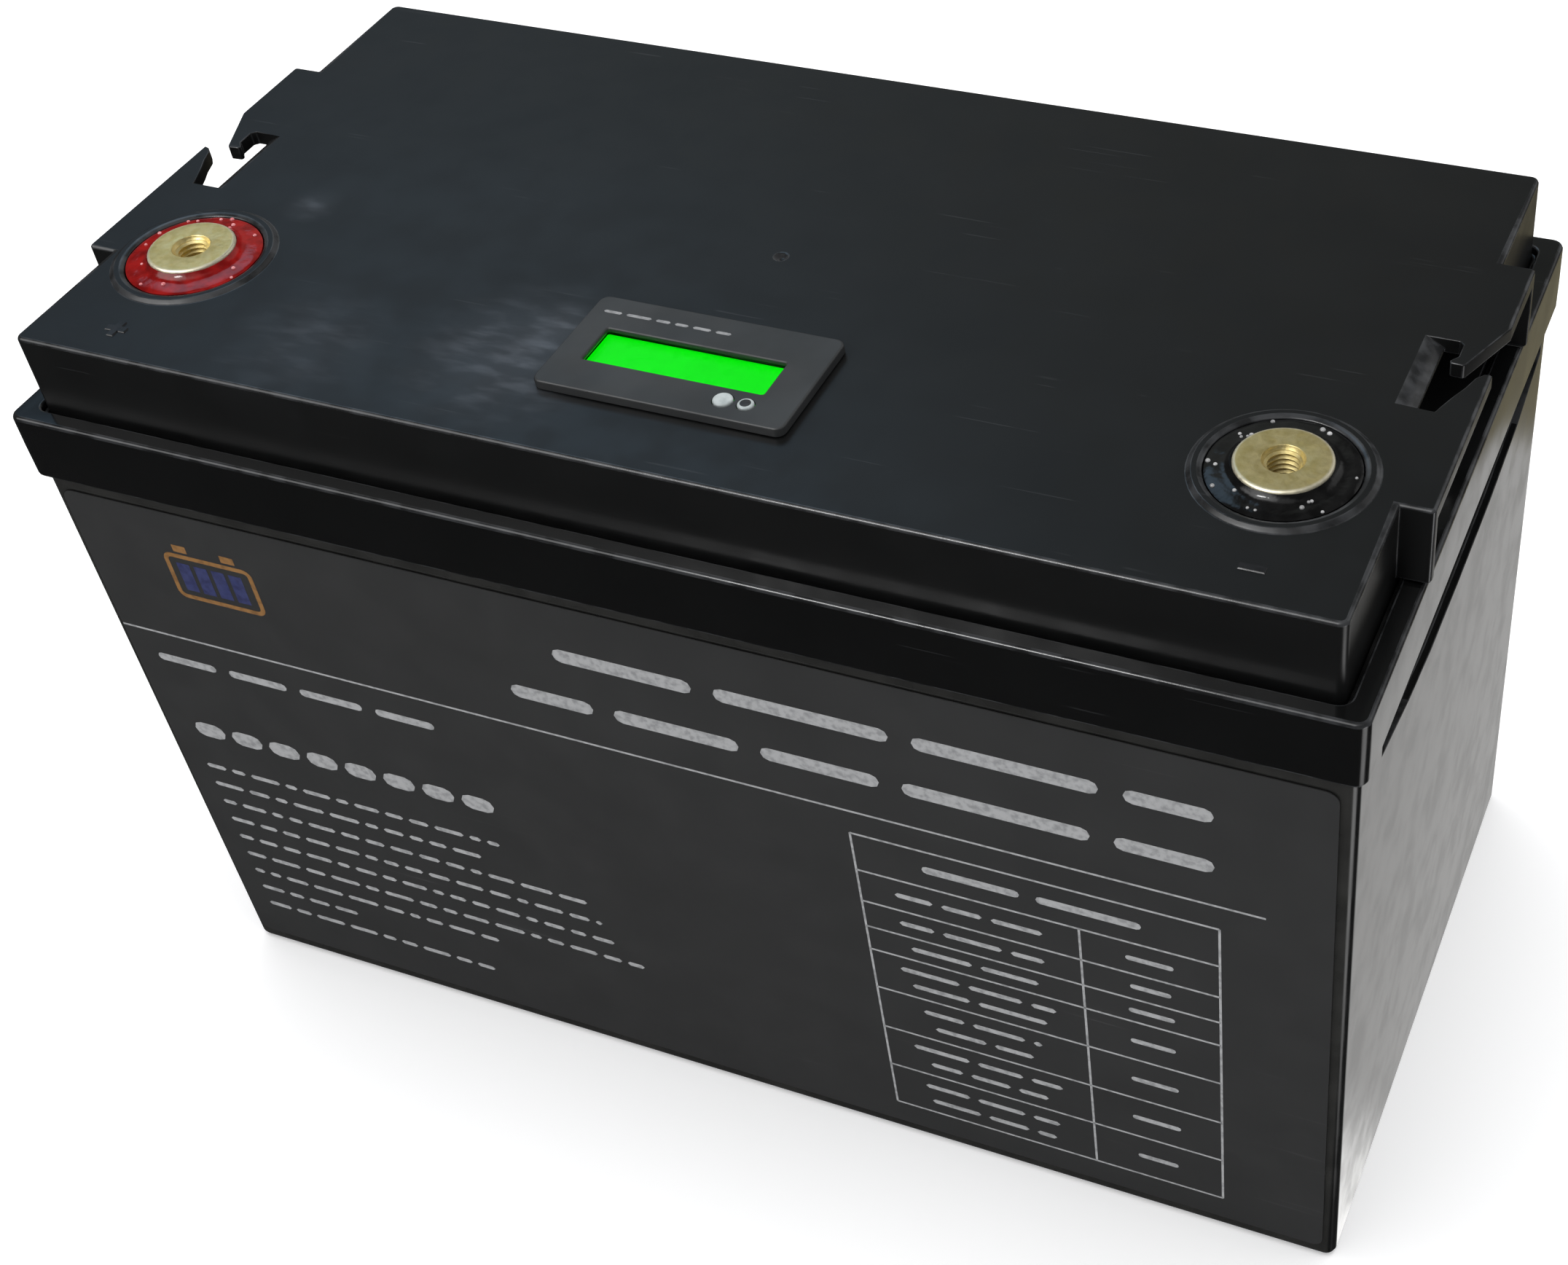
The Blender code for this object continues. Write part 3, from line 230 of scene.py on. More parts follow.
def turned_brass(name, centre, tone):
    """Brass with turning rings about its own axis, small dents, a dull film and a painted chamfer highlight.
    tone scales its colour.
    """
    made = Finish(name, metallic=0.82)
    axis = made.node("VectorMath", {0: made.place, 1: centre}, operation="SUBTRACT")
    flat = made.node("VectorMath", {0: axis, 1: (1.0, 1.0, 0.0)}, operation="MULTIPLY")
    radius = made.node("VectorMath", {0: flat}, "Value", operation="LENGTH")
    rings = made.node("TexNoise", {"W": radius, "Scale": 5200.0, "Detail": 2.0}, noise_dimensions="1D")
    tarnish = made.spread(made.noise(420.0, 6.0), 0.35, 0.7)
    bright, dull = [tone * c for c in (0.9, 0.76, 0.37)], [tone * c for c in (0.76, 0.62, 0.25)]
    colour = made.blend(tarnish, bright, dull)
    # Painted highlight: the flange's chamfer ring is painted pale, as the glint it catches.
    colour = made.blend(made.spread(radius, 9.5 * MM, 10.2 * MM), colour, (1.0, 0.93, 0.7))
    roughness = made.spread(made.noise(900.0, 4.0), 0.3, 0.7, 0.34, 0.52)
    made.relief(rings, 0.012 * MM)
    made.relief(made.noise(650.0, 3.0), 0.09 * MM)
    return made.done(colour, roughness)


def cast_resin(name, deep, bright):
    """Poured resin: glossy, gently waved, with denser and clearer places."""
    made = Finish(name, constants={"Coat Weight": 0.1, "Coat Roughness": 0.04, "Specular IOR Level": 0.4})
    colour = made.blend(made.spread(made.noise(260.0, 3.0), 0.3, 0.7), deep, bright)
    roughness = made.spread(made.noise(500.0), 0.3, 0.7, 0.08, 0.18)
    made.relief(made.noise(420.0, 2.0), 0.12 * MM)
    return made.done(colour, roughness)


def glowing_panel():
    """Backlit green panel, its glow a little uneven across it."""
    dark = {"Emission Strength": 1.0, "Base Color": (0, 0.02, 0, 1), "Specular IOR Level": 0.05}
    made = Finish("lcd_green", constants=dark)
    glow = made.blend(made.noise(70.0, 2.0), (0.0, 0.76, 0.001), (0.001, 0.9, 0.003))
    roughness = made.spread(made.noise(300.0), 0.3, 0.7, 0.25, 0.4)
    return made.done(glow, roughness, "Emission Color")


def clear_window():
    made = Finish("clear_plastic", constants={"Transmission Weight": 1.0, "IOR": 1.12})
    colour = made.blend(made.noise(120.0), (0.93, 0.97, 0.93), (0.98, 1.0, 0.98))
    roughness = made.spread(made.noise(700.0, 4.0), 0.45, 0.75, 0.02, 0.12)
    return made.done(colour, roughness)


def general(name, dark, light, rough, metallic=0.0, size=20.0, stretch=(1, 1, 1), grain=0.4, depth=0.005):
    """Plain finish: colour clouds of this size in mm, streaks by stretch, and a grain in mm."""
    made = Finish(name, metallic)
    place = made.stretched(stretch)
    clouds = made.spread(made.noise(1000.0 / size, 4.0, place), 0.3, 0.7)
    roughness = made.spread(made.noise(1600.0 / size, 3.0, place), 0.3, 0.7, *rough)
    made.relief(made.noise(1000.0 / grain, 3.0, place), depth * MM)
    return made.done(made.blend(clouds, dark, light), roughness)


def foam_rubber():
    """Closed-cell foam: small round cells in a dark grey skin."""
    made = Finish("foam")
    cells = made.node("TexVoronoi", {"Vector": made.place, "Scale": 900.0})
    colour = made.blend(made.spread(cells, 0.1, 0.7), (0.06, 0.06, 0.06), (0.025, 0.025, 0.026))
    made.relief(cells, -0.15 * MM)
    return made.done(colour, made.spread(made.noise(200.0), 0.3, 0.7, 0.85, 0.95))


def glass_epoxy(name, dark, light):
    """Glass-fibre board with its woven cloth showing faintly under the surface."""
    made = Finish(name)
    waves = []
    for direction in ("X", "Y"):
        inputs = {"Vector": made.place, "Scale": 260.0, "Distortion": 0.4}
        waves.append(made.node("TexWave", inputs, "Fac", bands_direction=direction))
    weave = made.maths("MULTIPLY", *waves)
    colour = made.blend(made.spread(weave, 0.1, 0.8), dark, light)
    made.relief(weave, 0.01 * MM)
    return made.done(colour, made.spread(made.noise(150.0), 0.3, 0.7, 0.35, 0.5))


# Mesh helpers


def mesh_from(name, work):
    mesh = bpy.data.meshes.new(name)
    work.to_mesh(mesh)
    work.free()
    return mesh


def add_piece(name, mesh, surface, body="battery", sharp_angle=32):
    """Links the mesh as a piece that rides on body and takes surface as its finish."""
    piece = bpy.data.objects.new(name, mesh)
    bpy.context.scene.collection.objects.link(piece)
    mesh.materials.clear()
    mesh.materials.append(surface)
    mesh.shade_smooth()
    mesh.set_sharp_from_angle(angle=math.radians(sharp_angle))
    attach(piece, body)
    return piece


def refined(node, name, surface, width=0.3 * MM, segments=2, body="battery"):
    """A piece with the CAD node's own shape and its sharp edges rounded, which stands for that node.

    Its colour layer is white on the rounded edges and on slanting faces: where hands rub, and where the
    finish paints a painted highlight.
    """
    work = bmesh.new()
    work.from_mesh(NODES[node].data)
    bmesh.ops.remove_doubles(work, verts=work.verts, dist=0.002 * MM)
    flat, sharp = math.radians(0.6), math.radians(35)
    level, upright = 0.985, 0.15
    bmesh.ops.dissolve_limit(work, angle_limit=flat, verts=work.verts, edges=work.edges)
    edges = [e for e in work.edges if e.calc_face_angle(0.0) > sharp]
    rounded = bmesh.ops.bevel(
        work,
        geom=edges,
        offset=width,
        offset_type="OFFSET",
        segments=segments,
        profile=0.5,
        affect="EDGES",
        clamp_overlap=False,
    )
    wear_and_highlight = work.loops.layers.color.new("wear_and_highlight")
    edge_faces = set(rounded["faces"])
    for face in work.faces:
        slanting = upright < abs(face.normal.z) < level
        wear_and_highlight_mask = float(face in edge_faces or slanting)
        for corner in face.loops:
            corner[wear_and_highlight] = (wear_and_highlight_mask, wear_and_highlight_mask, wear_and_highlight_mask, 1.0)
    piece = add_piece(name, mesh_from(name, work), surface, body)
    weighted = piece.modifiers.new("weighted", "WEIGHTED_NORMAL")
    weighted.keep_sharp = True
    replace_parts(piece, node)
    return piece


def skin(work, rings, cyclic=False):
    """Faces through rings of points: the ends are capped or, if cyclic, the last ring meets the first."""
    loops = [[work.verts.new(point) for point in ring] for ring in rings]
    pairs = list(zip(loops, loops[1:]))
    if cyclic:
        pairs.append((loops[-1], loops[0]))
    else:
        work.faces.new(loops[0])
        work.faces.new(loops[-1])
    for lower, upper in pairs:
        for i in range(len(lower)):
            j = (i + 1) % len(lower)
            work.faces.new((lower[i], lower[j], upper[j], upper[i]))


def lathe(name, profile, centre, count=96, cyclic=False, wobble=0.0):
    """Mesh turned about a vertical axis: the profile is a list of (radius, z)."""
    work = bmesh.new()
    rings = []
    for radius, z in profile:
        ring = []
        for step in range(count):
            angle = 2 * math.pi * step / count
            x, y = centre.x + radius * math.cos(angle), centre.y + radius * math.sin(angle)
            lift = wobble * noise.noise(Vector((x, y, 0.0)) * 260.0)
            ring.append((x, y, z + lift))
        rings.append(ring)
    skin(work, rings, cyclic)
    bmesh.ops.recalc_face_normals(work, faces=work.faces)
    return mesh_from(name, work)


def arc(centre_radius, centre_z, radius, start, end, steps=5):
    """Points of a profile along an arc, with angles in degrees from outwards, turning upwards."""
    points = []
    for step in range(steps + 1):
        angle = math.radians(start + (end - start) * step / steps)
        points.append((centre_radius + radius * math.cos(angle), centre_z + radius * math.sin(angle)))
    return points


# Case


def make_case():
    # Handling smudges, painted pale bluish as a painted sheen.
    lid_smudges_and_sheen = [
        ((-0.04, -0.052, LID_TOP), 32 * MM, 0.3),
        ((-0.036, -0.04, LID_TOP), 10 * MM, 0.24),
        ((-0.122, -0.013, LID_TOP), 9 * MM, 0.2),
        ((-0.09, -0.062, LID_TOP), 26 * MM, 0.14),
    ]
    lid_abs = moulded_abs("lid_abs", 0.33, 0.95, 0.05 * MM, lid_smudges_and_sheen)
    # The front wall strip under the collar and above the label, painted lighter as painted reflected light.
    front_wall = (COLLAR_BOTTOM, label_face(label_low.z) + 0.6 * MM)
    container_abs = moulded_abs("container_abs", 0.15, 0.65, 0.006 * MM, painted_light_strip=front_wall)
    refined("lid", "lid_shell", lid_abs, 0.25 * MM)
    # The end walls have a strip of only 0.6 mm over each recess, which must hold two rounded edges.
    refined("container", "container_shell", container_abs, 0.23 * MM)


def make_seal():
    """Bead of sealant in the trough round the lid, with the small waves of a bead laid by hand."""
    work = bmesh.new()
    work.from_mesh(NODES["lid_seal"].data)
    bmesh.ops.remove_doubles(work, verts=work.verts, dist=0.002 * MM)
    long_edges = [e for e in work.edges if e.calc_length() > 20 * MM]
    bmesh.ops.subdivide_edges(work, edges=long_edges, cuts=90, use_grid_fill=True)
    floor = min(v.co.z for v in work.verts)
    for vertex in work.verts:
        if vertex.co.z > floor + 1.0 * MM:
            vertex.co.z += 0.3 * MM * noise.noise(vertex.co * 160.0)
    bmesh.ops.triangulate(work, faces=[f for f in work.faces if len(f.verts) > 4])
    finish = general("seal_resin", (0.004, 0.004, 0.004), (0.012, 0.012, 0.012), (0.12, 0.3), size=6)
    piece = add_piece("seal_bead", mesh_from("seal_bead", work), finish)
    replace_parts(piece, "lid_seal")


def make_polarity_mark(name, centre, cross):
    """Raised plus or minus sign in the lid's own plastic."""
    long_half, thick_half, foot = 2.6 * MM, 0.75 * MM, 0.2 * MM
    low, high = LID_TOP - 0.1 * MM, LID_TOP + 0.3 * MM
    if cross:
        corner = [(long_half, -thick_half), (long_half, thick_half), (thick_half, thick_half)]
        outline = []
        for quarter in range(4):
            turn = Matrix.Rotation(math.pi / 2 * quarter, 2)
            outline += [turn @ Vector(point) for point in corner]
    else:
        outline = [Vector((x * long_half, y * thick_half)) for x, y in ((1, -1), (1, 1), (-1, 1), (-1, -1))]
    work = bmesh.new()
    rings = []
    for grow, z in ((foot, low), (foot, LID_TOP), (0.0, high - 0.1 * MM), (-0.1 * MM, high)):
        ring = []
        for point in outline:
            x = point.x + math.copysign(grow, point.x)
            y = point.y + math.copysign(grow, point.y)
            ring.append((centre[0] + x, centre[1] + y, z))
        rings.append(ring)
    skin(work, rings)
    bmesh.ops.recalc_face_normals(work, faces=work.faces)
    finish = general(name + "_abs", (0.006, 0.006, 0.0065), (0.012, 0.012, 0.013), (0.25, 0.4), size=3)
    add_piece(name, mesh_from(name, work), finish)


# Printed marks


class Print:
    """Flat marks of ink gathered in one mesh. place(u, v, height) says where a point of the sheet lies."""

    def __init__(self, place, thickness=0.03 * MM, gap=0.006 * MM):
        self.place, self.thickness, self.gap = place, thickness, gap
        self.work = bmesh.new()

    def outline(self, points):
        back = [self.place(u, v, self.gap) for u, v in points]
        front = [self.place(u, v, self.gap + self.thickness) for u, v in points]
        skin(self.work, [back, front])

    def bar(self, left, right, middle, height, steps=4):
        """Bar with round ends."""
        half = height / 2
        points = []
        for end, start in ((right, -90), (left, 90)):
            inset = -half if end == right else half
            for step in range(steps + 1):
                angle = math.radians(start + 180 * step / steps)
                points.append((end + inset + half * math.cos(angle), middle + half * math.sin(angle)))
        self.outline(points)

    def line(self, left, bottom, right, top):
        self.outline([(left, bottom), (right, bottom), (right, top), (left, top)])

    def words(self, left, right, middle, height, shortest, longest, space):
        """A row of word-like bars from left to right, with lengths drawn at random."""
        start = left
        while right - start > height:
            end = min(start + rng.uniform(shortest, longest), right)
            if right - end < shortest / 2:
                end = right
            self.bar(start, end, middle, height, 2 if height < 2 * MM else 4)
            start = end + space

    def ring(self, left, bottom, right, top, corner, width, steps=5):
        """Outline of a rounded rectangle, as four sides that meet at the middles of its edges."""
        outer, inner = [], []
        for turn, (x, y) in enumerate(((right, top), (left, top), (left, bottom), (right, bottom))):
            centre_x = x - math.copysign(corner, x - (left + right) / 2)
            centre_y = y - math.copysign(corner, y - (bottom + top) / 2)
            for step in range(steps + 1):
                angle = math.radians(90 * turn + 90 * step / steps)
                cos, sin = math.cos(angle), math.sin(angle)
                outer.append((centre_x + corner * cos, centre_y + corner * sin))
                inner.append((centre_x + (corner - width) * cos, centre_y + (corner - width) * sin))
        heights = (self.gap, self.gap + self.thickness)
        rings = [[self.place(u, v, h) for u, v in side] for side in (outer, inner) for h in heights]
        skin(self.work, [rings[0], rings[1], rings[3], rings[2]], cyclic=True)

    def add(self, name, surface, slot):
        bmesh.ops.recalc_face_normals(self.work, faces=self.work.faces)
        add_piece(name, mesh_from(name, self.work), surface)


def on_label(x, z, height):
    return (x, label_face(z) - height, z)


def make_label():
    """The label's layout in plain bars, with no lettering: headings, small lines, gauge and table."""
    pale = Print(on_label)
    pale.line(-160.0 * MM + 0.6 * MM, 126.5 * MM, 144.4 * MM, 127.1 * MM)
    pale.words(-26 * MM, 133 * MM, 155.3 * MM, 4.2 * MM, 18 * MM, 56 * MM, 5.5 * MM)
    pale.words(-41 * MM, 133 * MM, 139.4 * MM, 4.2 * MM, 22 * MM, 50 * MM, 5.5 * MM)
    pale.words(-152 * MM, -68.6 * MM, 117.6 * MM, 2.5 * MM, 12 * MM, 22 * MM, 4 * MM)
    gauge_left, gauge_step = -150.5 * MM, 11.8 * MM
    for i in range(8):
        left = gauge_left + i * gauge_step
        pale.bar(left, left + 9.6 * MM, 91.6 * MM, 5.2 * MM)
    row_ends = (-58, -68, -38, -35, -33, -23, -72, -120, -77)
    for row, end in enumerate(row_ends):
        middle = (76.6 - 7.2 * row) * MM
        pale.words(-152.5 * MM, end * MM, middle, 1.5 * MM, 3.5 * MM, 10 * MM, 1.7 * MM)
    make_table(pale)
    pale.add("label_print", ink("pale_ink", (0.26, 0.265, 0.27), (0.4, 0.405, 0.41)), "label_film")
    make_pictogram()


def make_table(pale):
    left, right, column, rule = 44.6 * MM, 133.9 * MM, 100.3 * MM, 0.3 * MM
    edges = [z * MM for z in (119.1, 106.2, 95.0, 85.6, 76.9, 62.0, 46.0, 30.1, 13.6)]
    top, bottom = edges[0], edges[-1]
    for z in edges:
        pale.line(left, z - rule, right, z + rule)
    for x, high in ((left, top), (right, top), (column, edges[1])):
        pale.line(x - rule, bottom, x + rule, high)
    heading = (edges[0] + edges[1]) / 2
    pale.words(62 * MM, 115.5 * MM, heading, 2.4 * MM, 18 * MM, 30 * MM, 4 * MM)
    column_middle, value_middle = (left + column) / 2, (column + right) / 2
    for high, low in zip(edges[1:], edges[2:]):
        height = high - low
        middles = [(high + low) / 2]
        if height > 12 * MM:
            middles = [low + 0.68 * height, low + 0.3 * height]
        for middle in middles:
            half = rng.uniform(13, 21) * MM
            start, end = column_middle - half, column_middle + half
            pale.words(start, end, middle, 1.6 * MM, 8 * MM, 16 * MM, 2.2 * MM)
        half = rng.uniform(4.6, 6.4) * MM
        pale.bar(value_middle - half, value_middle + half, (high + low) / 2, 1.6 * MM)


def make_pictogram():
    """Generic battery sign in muted inks: an amber outline and two posts over blue charge bars."""
    left, bottom, width, height = -135 * MM, 143 * MM, 26 * MM, 15 * MM
    amber = Print(on_label)
    amber.ring(left, bottom, left + width, bottom + height, 2.5 * MM, 1.3 * MM)
    for centre in (left + 6 * MM, left + width - 6 * MM):
        amber.line(centre - 2 * MM, bottom + height + 0.8 * MM, centre + 2 * MM, bottom + height + 3 * MM)
    amber.add("label_sign_outline", ink("amber_ink", (0.2, 0.09, 0.02), (0.3, 0.14, 0.03)), "label_film")
    blue = Print(on_label)
    for i in range(4):
        start = left + 3.2 * MM + i * 5.1 * MM
        blue.outline([(start, bottom + 3 * MM), (start + 3.8 * MM, bottom + 3 * MM),
                      (start + 3.8 * MM, bottom + height - 3 * MM), (start, bottom + height - 3 * MM)])
    blue.add("label_sign_bars", ink("blue_ink", (0.02, 0.025, 0.1), (0.03, 0.04, 0.15)), "label_film")


# Display


def make_display():
    bezel = general("bezel_plastic", (0.026, 0.028, 0.029), (0.036, 0.038, 0.039), (0.42, 0.55), grain=0.35)
    refined("display_housing", "display_bezel", bezel, 0.15 * MM)
    marks = Print(lambda x, y, height: (x, y, BEZEL_TOP + height), 0.02 * MM)
    marks.words(-27.3 * MM, 4.9 * MM, -34.1 * MM, 0.9 * MM, 3 * MM, 8 * MM, 1.1 * MM)
    marks.add("bezel_print", ink("bezel_ink", (0.16, 0.165, 0.17), (0.26, 0.265, 0.27)), "bezel_plastic")
    grey = general("key_plastic", (0.3, 0.34, 0.34), (0.42, 0.46, 0.46), (0.35, 0.5), size=2, grain=0.3)
    refined("mode_key", "mode_key_cap", grey, 0.15 * MM, body="mode_key")
    refined("set_key", "set_key_cap", grey, 0.15 * MM, body="set_key")
    middle, top = middle_of("set_key"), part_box("set_key")[1].z
    dish = lathe("set_key_dish", [(1.25 * MM, top - 0.05 * MM), (1.25 * MM, top + 0.01 * MM),
                                  (1.15 * MM, top + 0.03 * MM)], middle, 40)
    dark = general("key_dish", (0.02, 0.021, 0.022), (0.035, 0.036, 0.037), (0.4, 0.5), size=1)
    add_piece("set_key_dish", dish, dark, body="set_key")


# Terminals


def make_post(sign, tone):
    """Brass post with a chamfered flange and a threaded bore."""
    name = f"terminal_post_{sign}"
    low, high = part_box(name)
    centre = (low + high) / 2
    flange = (high.x - low.x) / 2
    chamfer, seat = 0.7 * MM, LID_TOP - 2.0 * MM
    minor, major, pitch = 3.4 * MM, 4.0 * MM, 1.25 * MM
    bore_foot = high.z - 17 * MM
    profile = [(5.2 * MM, low.z), (6.0 * MM, low.z + 0.8 * MM), (6.0 * MM, seat), (flange - 0.3 * MM, seat)]
    profile += arc(flange - 0.3 * MM, seat + 0.3 * MM, 0.3 * MM, -60, 0, 3)
    profile += arc(flange - chamfer, high.z - chamfer, chamfer, 0, 90, 6)
    profile += arc(4.75 * MM, high.z - 0.25 * MM, 0.25 * MM, 90, 180, 4)
    z = high.z - 0.9 * MM
    while z - pitch > bore_foot:
        profile += [(major, z), (major, z - 0.12 * pitch)]
        profile += [(minor, z - 0.45 * pitch), (minor, z - 0.6 * pitch)]
        z -= pitch
    profile += [(minor, bore_foot), (0.3 * MM, bore_foot - 1.5 * MM)]
    mesh = lathe(f"post_{sign}", profile, centre, 128)
    piece = add_piece(f"post_{sign}", mesh, turned_brass(f"brass_{sign}", centre, tone))
    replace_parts(piece, name)


def make_resin(sign, colours, bead_glint_colours):
    """Poured resin ring that climbs the flange and the cup's wall, with beads on it painted pale as painted
    glints.
    """
    name = f"terminal_resin_{sign}"
    low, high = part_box(name)
    centre = (low + high) / 2
    outer = (high.x - low.x) / 2
    flange = (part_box(f"terminal_post_{sign}")[1].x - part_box(f"terminal_post_{sign}")[0].x) / 2
    inner = flange + 0.1 * MM
    width = outer - inner

    def level(across):
        """Height of the resin's surface, with across running from its outer edge to the flange.

        It climbs at the flange and falls off at a rounded shoulder outside.
        """
        climb, shoulder = math.exp(-7.0 * (1 - across)), math.exp(-6.0 * across)
        return LID_TOP + (0.75 + 1.6 * climb - 0.45 * shoulder) * MM

    profile = [(inner, low.z), (outer, low.z)]
    steps = 14
    profile += [(outer - width * step / steps, level(step / steps)) for step in range(steps + 1)]
    surface = cast_resin(f"resin_{sign}", *colours)
    mesh = lathe(f"resin_{sign}", profile, centre, 120, cyclic=True, wobble=0.16 * MM)
    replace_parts(add_piece(f"resin_{sign}", mesh, surface, sharp_angle=60), name)
    beads = bmesh.new()
    for _ in range(18):
        angle, across = rng.uniform(0, 2 * math.pi), rng.uniform(0.08, 0.85)
        size, radius = rng.uniform(0.3, 0.62) * MM, outer - width * across
        spot = (centre.x + radius * math.cos(angle), centre.y + radius * math.sin(angle), level(across))
        squash = Matrix.Translation(spot) @ Matrix.Diagonal((size, size, 0.8 * size, 1.0))
        bmesh.ops.create_icosphere(beads, subdivisions=3, radius=1.0, matrix=squash)
    # The beads' pale colour is a painted glint, bright under any light.
    pale = general(f"bead_{sign}", bead_glint_colours[0], bead_glint_colours[1], (0.1, 0.25), size=2, depth=0.01)
    add_piece(f"resin_bead_glints_{sign}", mesh_from(f"resin_bead_glints_{sign}", beads), pale)


# Nodes that keep their CAD shape


def dress_nodes():
    """Gives each carried-over node its finish."""
    steel = general("steel", (0.5, 0.51, 0.52), (0.62, 0.63, 0.64), (0.25, 0.42), 1.0, 8, (1, 1, 6))
    copper = general("tinned_copper", (0.6, 0.57, 0.53), (0.76, 0.73, 0.69), (0.24, 0.4), 1.0, 10, (1, 8, 1))
    aluminium = general("aluminium", (0.62, 0.63, 0.65), (0.78, 0.79, 0.81), (0.3, 0.45), 1.0, 12, (1, 1, 12))
    rubber = general("rubber", (0.012, 0.012, 0.012), (0.026, 0.026, 0.026), (0.6, 0.8), size=5, depth=0.01)
    film = general("cell_film", (0.02, 0.08, 0.28), (0.035, 0.13, 0.4), (0.25, 0.42), size=30, depth=0.01)
    sheet = glass_epoxy("epoxy_sheet", (0.36, 0.38, 0.13), (0.52, 0.54, 0.22))
    board = glass_epoxy("circuit_board", (0.012, 0.1, 0.035), (0.025, 0.18, 0.07))
    white = general("white_plastic", (0.66, 0.65, 0.6), (0.78, 0.77, 0.73), (0.4, 0.5), size=8)
    guide = general("light_guide", (0.78, 0.84, 0.78), (0.88, 0.92, 0.88), (0.2, 0.35), size=6)
    pale_lead = general("cable_white", (0.6, 0.6, 0.57), (0.72, 0.72, 0.7), (0.4, 0.55), size=5)
    red_lead = general("cable_red", (0.38, 0.012, 0.012), (0.52, 0.02, 0.02), (0.4, 0.55), size=5)
    black_lead = general("cable_black", (0.008, 0.008, 0.008), (0.018, 0.018, 0.018), (0.4, 0.55), size=5)
    foam = foam_rubber()
    by_slot = {
        "label_film": label_film(),
        "clear_plastic": clear_window(),
        "lcd_green": glowing_panel(),
        "steel": steel,
        "tinned_copper": copper,
        "aluminium": aluminium,
        "rubber": rubber,
        "cell_film": film,
        "epoxy_sheet": sheet,
        "circuit_board": board,
        "white_plastic": white,
        "light_guide": guide,
        "cable_white": pale_lead,
        "cable_red": red_lead,
        "cable_black": black_lead,
        "foam": foam,
    }
    for node in NODES.values():
        slots = node.data.materials
        slot = slots[0].name if len(slots) else ""
        if slot.split(".")[0] in by_slot:
            node.data.materials.clear()
            node.data.materials.append(by_slot[slot.split(".")[0]])


# Stage


def make_floor():
    work = bmesh.new()
    bmesh.ops.create_grid(work, x_segments=1, y_segments=1, size=6.0)
    floor = bpy.data.objects.new("floor", mesh_from("floor", work))
    bpy.context.scene.collection.objects.link(floor)
    made = Finish("floor_paper", constants={"Emission Color": (1, 1, 1, 1), "Emission Strength": 0.28})
    colour = made.blend(made.noise(3.0), (0.9, 0.9, 0.9), (0.92, 0.92, 0.92))
    made.relief(made.noise(500.0), 0.005 * MM)
    floor.data.materials.append(made.done(colour, made.spread(made.noise(5.0), 0.3, 0.7, 0.85, 0.95)))
    floor.visible_glossy = False


def area_light(name, place, aim, width, height, watts, colour=(1.0, 1.0, 1.0)):
    light = bpy.data.lights.new(name, "AREA")
    light.shape = "RECTANGLE"
    light.size, light.size_y = width, height
    light.energy = watts
    light.color = colour
    lamp = bpy.data.objects.new(name, light)
    bpy.context.scene.collection.objects.link(lamp)
    lamp.location = place
    lamp.rotation_euler = (Vector(aim) - Vector(place)).to_track_quat("-Z", "Y").to_euler()
    return lamp


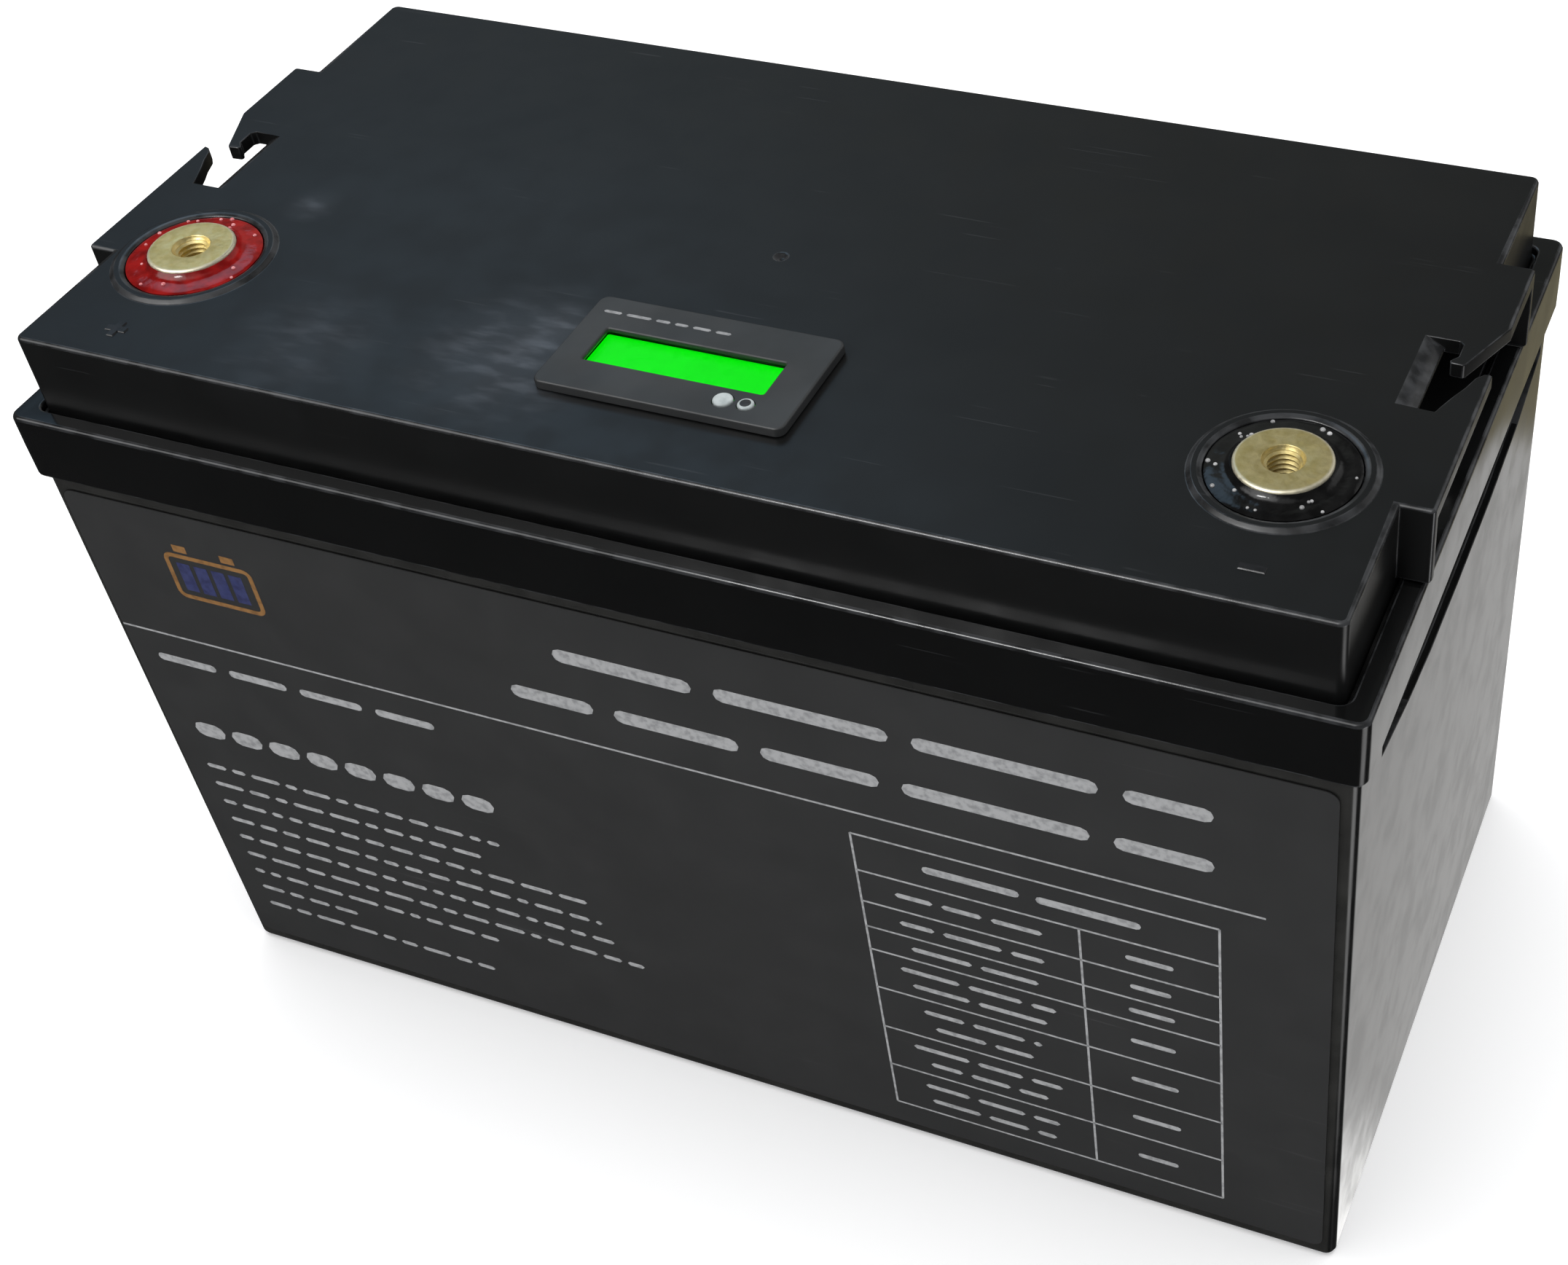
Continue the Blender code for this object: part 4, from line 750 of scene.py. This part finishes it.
def make_world():
    """Soft studio surroundings. Polished faces see a dark room with a few pale walls in it."""
    world = bpy.data.worlds.new("studio")
    bpy.context.scene.world = world
    world.use_nodes = True
    wiring = Wiring(world.node_tree)
    towards = wiring.node("TexCoord", {}, "Generated")

    def facing(aim, full, gone):
        """1 where the view points within an angle of cosine full from aim, easing to 0 at cosine gone."""
        inputs = {0: towards, 1: Vector(aim).normalized()}
        return wiring.spread(wiring.node("VectorMath", inputs, "Value", operation="DOT_PRODUCT"), gone, full)

    seen = (0.036, 0.036, 0.036)
    # Each wall: the direction of its middle, its colour, and the cosines where it is full and gone.
    walls = (
        ((-0.38, 0.78, 0.5), (0.17, 0.18, 0.17), 0.985, 0.92),
        ((-0.5, 0.5, 0.7), (0.6, 0.88, 1.16), 0.993, 0.965),
        ((0.56, 0.74, 0.4), (0.45, 0.45, 0.45), 0.97, 0.88),
        ((0.13, 0.68, -0.72), (0.66, 0.655, 0.645), 0.98, 0.92),
        ((0.11, 0.48, -0.87), (2.1, 2.09, 2.07), 0.9993, 0.994),
        ((0.72, -0.25, -0.64), (2.0, 2.0, 2.0), 0.985, 0.95),
        ((0.0, -0.5, 0.86), (0.5, 0.5, 0.5), 0.95, 0.8),
        ((-0.42, -0.62, 0.66), (2.6, 2.6, 2.6), 0.95, 0.8),
    )
    for aim, colour, full, gone in walls:
        seen = wiring.blend(facing(aim, full, gone), seen, colour)
    # The pale table ends behind the battery, and a dull brown room lies beyond its edge.
    height = wiring.node("SeparateXYZ", {0: towards}, "Z")
    behind = facing((0.13, 0.8, -0.56), 0.97, 0.93)
    beyond = wiring.maths("MULTIPLY", wiring.spread(height, -0.627, -0.617), behind)
    seen = wiring.blend(beyond, seen, (0.25, 0.225, 0.15))
    rays = wiring.node("LightPath", {}, "Is Glossy Ray").node.outputs
    ambient = wiring.blend(rays["Is Glossy Ray"], (0.62, 0.62, 0.63), seen)
    backdrop = wiring.blend(rays["Is Camera Ray"], ambient, (0.93, 0.93, 0.93))
    wiring.tree.links.new(backdrop, wiring.tree.nodes["Background"].inputs["Color"])


def make_lights():
    overhead = area_light("overhead", (0.0, 0.1, 1.6), (0, 0, 0.1), 1.6, 1.2, 20)
    overhead.visible_glossy = False
    edge = area_light("edge_light", (-0.48, -1.14, 1.26), (0, 0, 0.15), 0.45, 0.2, 9)
    edge.visible_diffuse = False


def make_camera():
    yaw, pitch, roll = 0.44466583, 0.76695516, 0.09167291
    forward = Vector((-math.sin(yaw) * math.cos(pitch), math.cos(yaw) * math.cos(pitch), -math.sin(pitch)))
    level = Vector((math.cos(yaw), math.sin(yaw), 0.0))
    down = forward.cross(level)
    right = level * math.cos(roll) + down * math.sin(roll)
    low = down * math.cos(roll) - level * math.sin(roll)
    data = bpy.data.cameras.new("camera")
    data.sensor_width = 36.0
    data.lens = 53.17
    data.shift_x, data.shift_y = -0.153, 0.0205
    data.clip_start = 0.01
    camera = bpy.data.objects.new("camera", data)
    bpy.context.scene.collection.objects.link(camera)
    turn = Matrix((right, -low, -forward)).transposed().to_4x4()
    camera.matrix_world = Matrix.Translation((0.238378, -0.390263, 0.513741)) @ turn
    bpy.context.scene.camera = camera


make_case()
make_seal()
make_polarity_mark("positive_mark", (-MARK_X, MARK_Y), True)
make_polarity_mark("negative_mark", (MARK_X, MARK_Y), False)
make_label()
make_display()
make_post("positive", 0.97)
make_post("negative", 0.78)
# The second pair of each colour set paints the resin's beads pale, as painted glints.
red, red_bead_glints = ((0.13, 0.003, 0.003), (0.26, 0.008, 0.007)), ((0.55, 0.16, 0.17), (0.75, 0.35, 0.36))
black, black_bead_glints = ((0.003, 0.003, 0.003), (0.007, 0.007, 0.007)), ((0.22, 0.22, 0.22), (0.5, 0.5, 0.5))
make_resin("positive", red, red_bead_glints)
make_resin("negative", black, black_bead_glints)
dress_nodes()
make_floor()
make_world()
make_lights()
make_camera()
bpy.context.scene.view_settings.view_transform = "Standard"
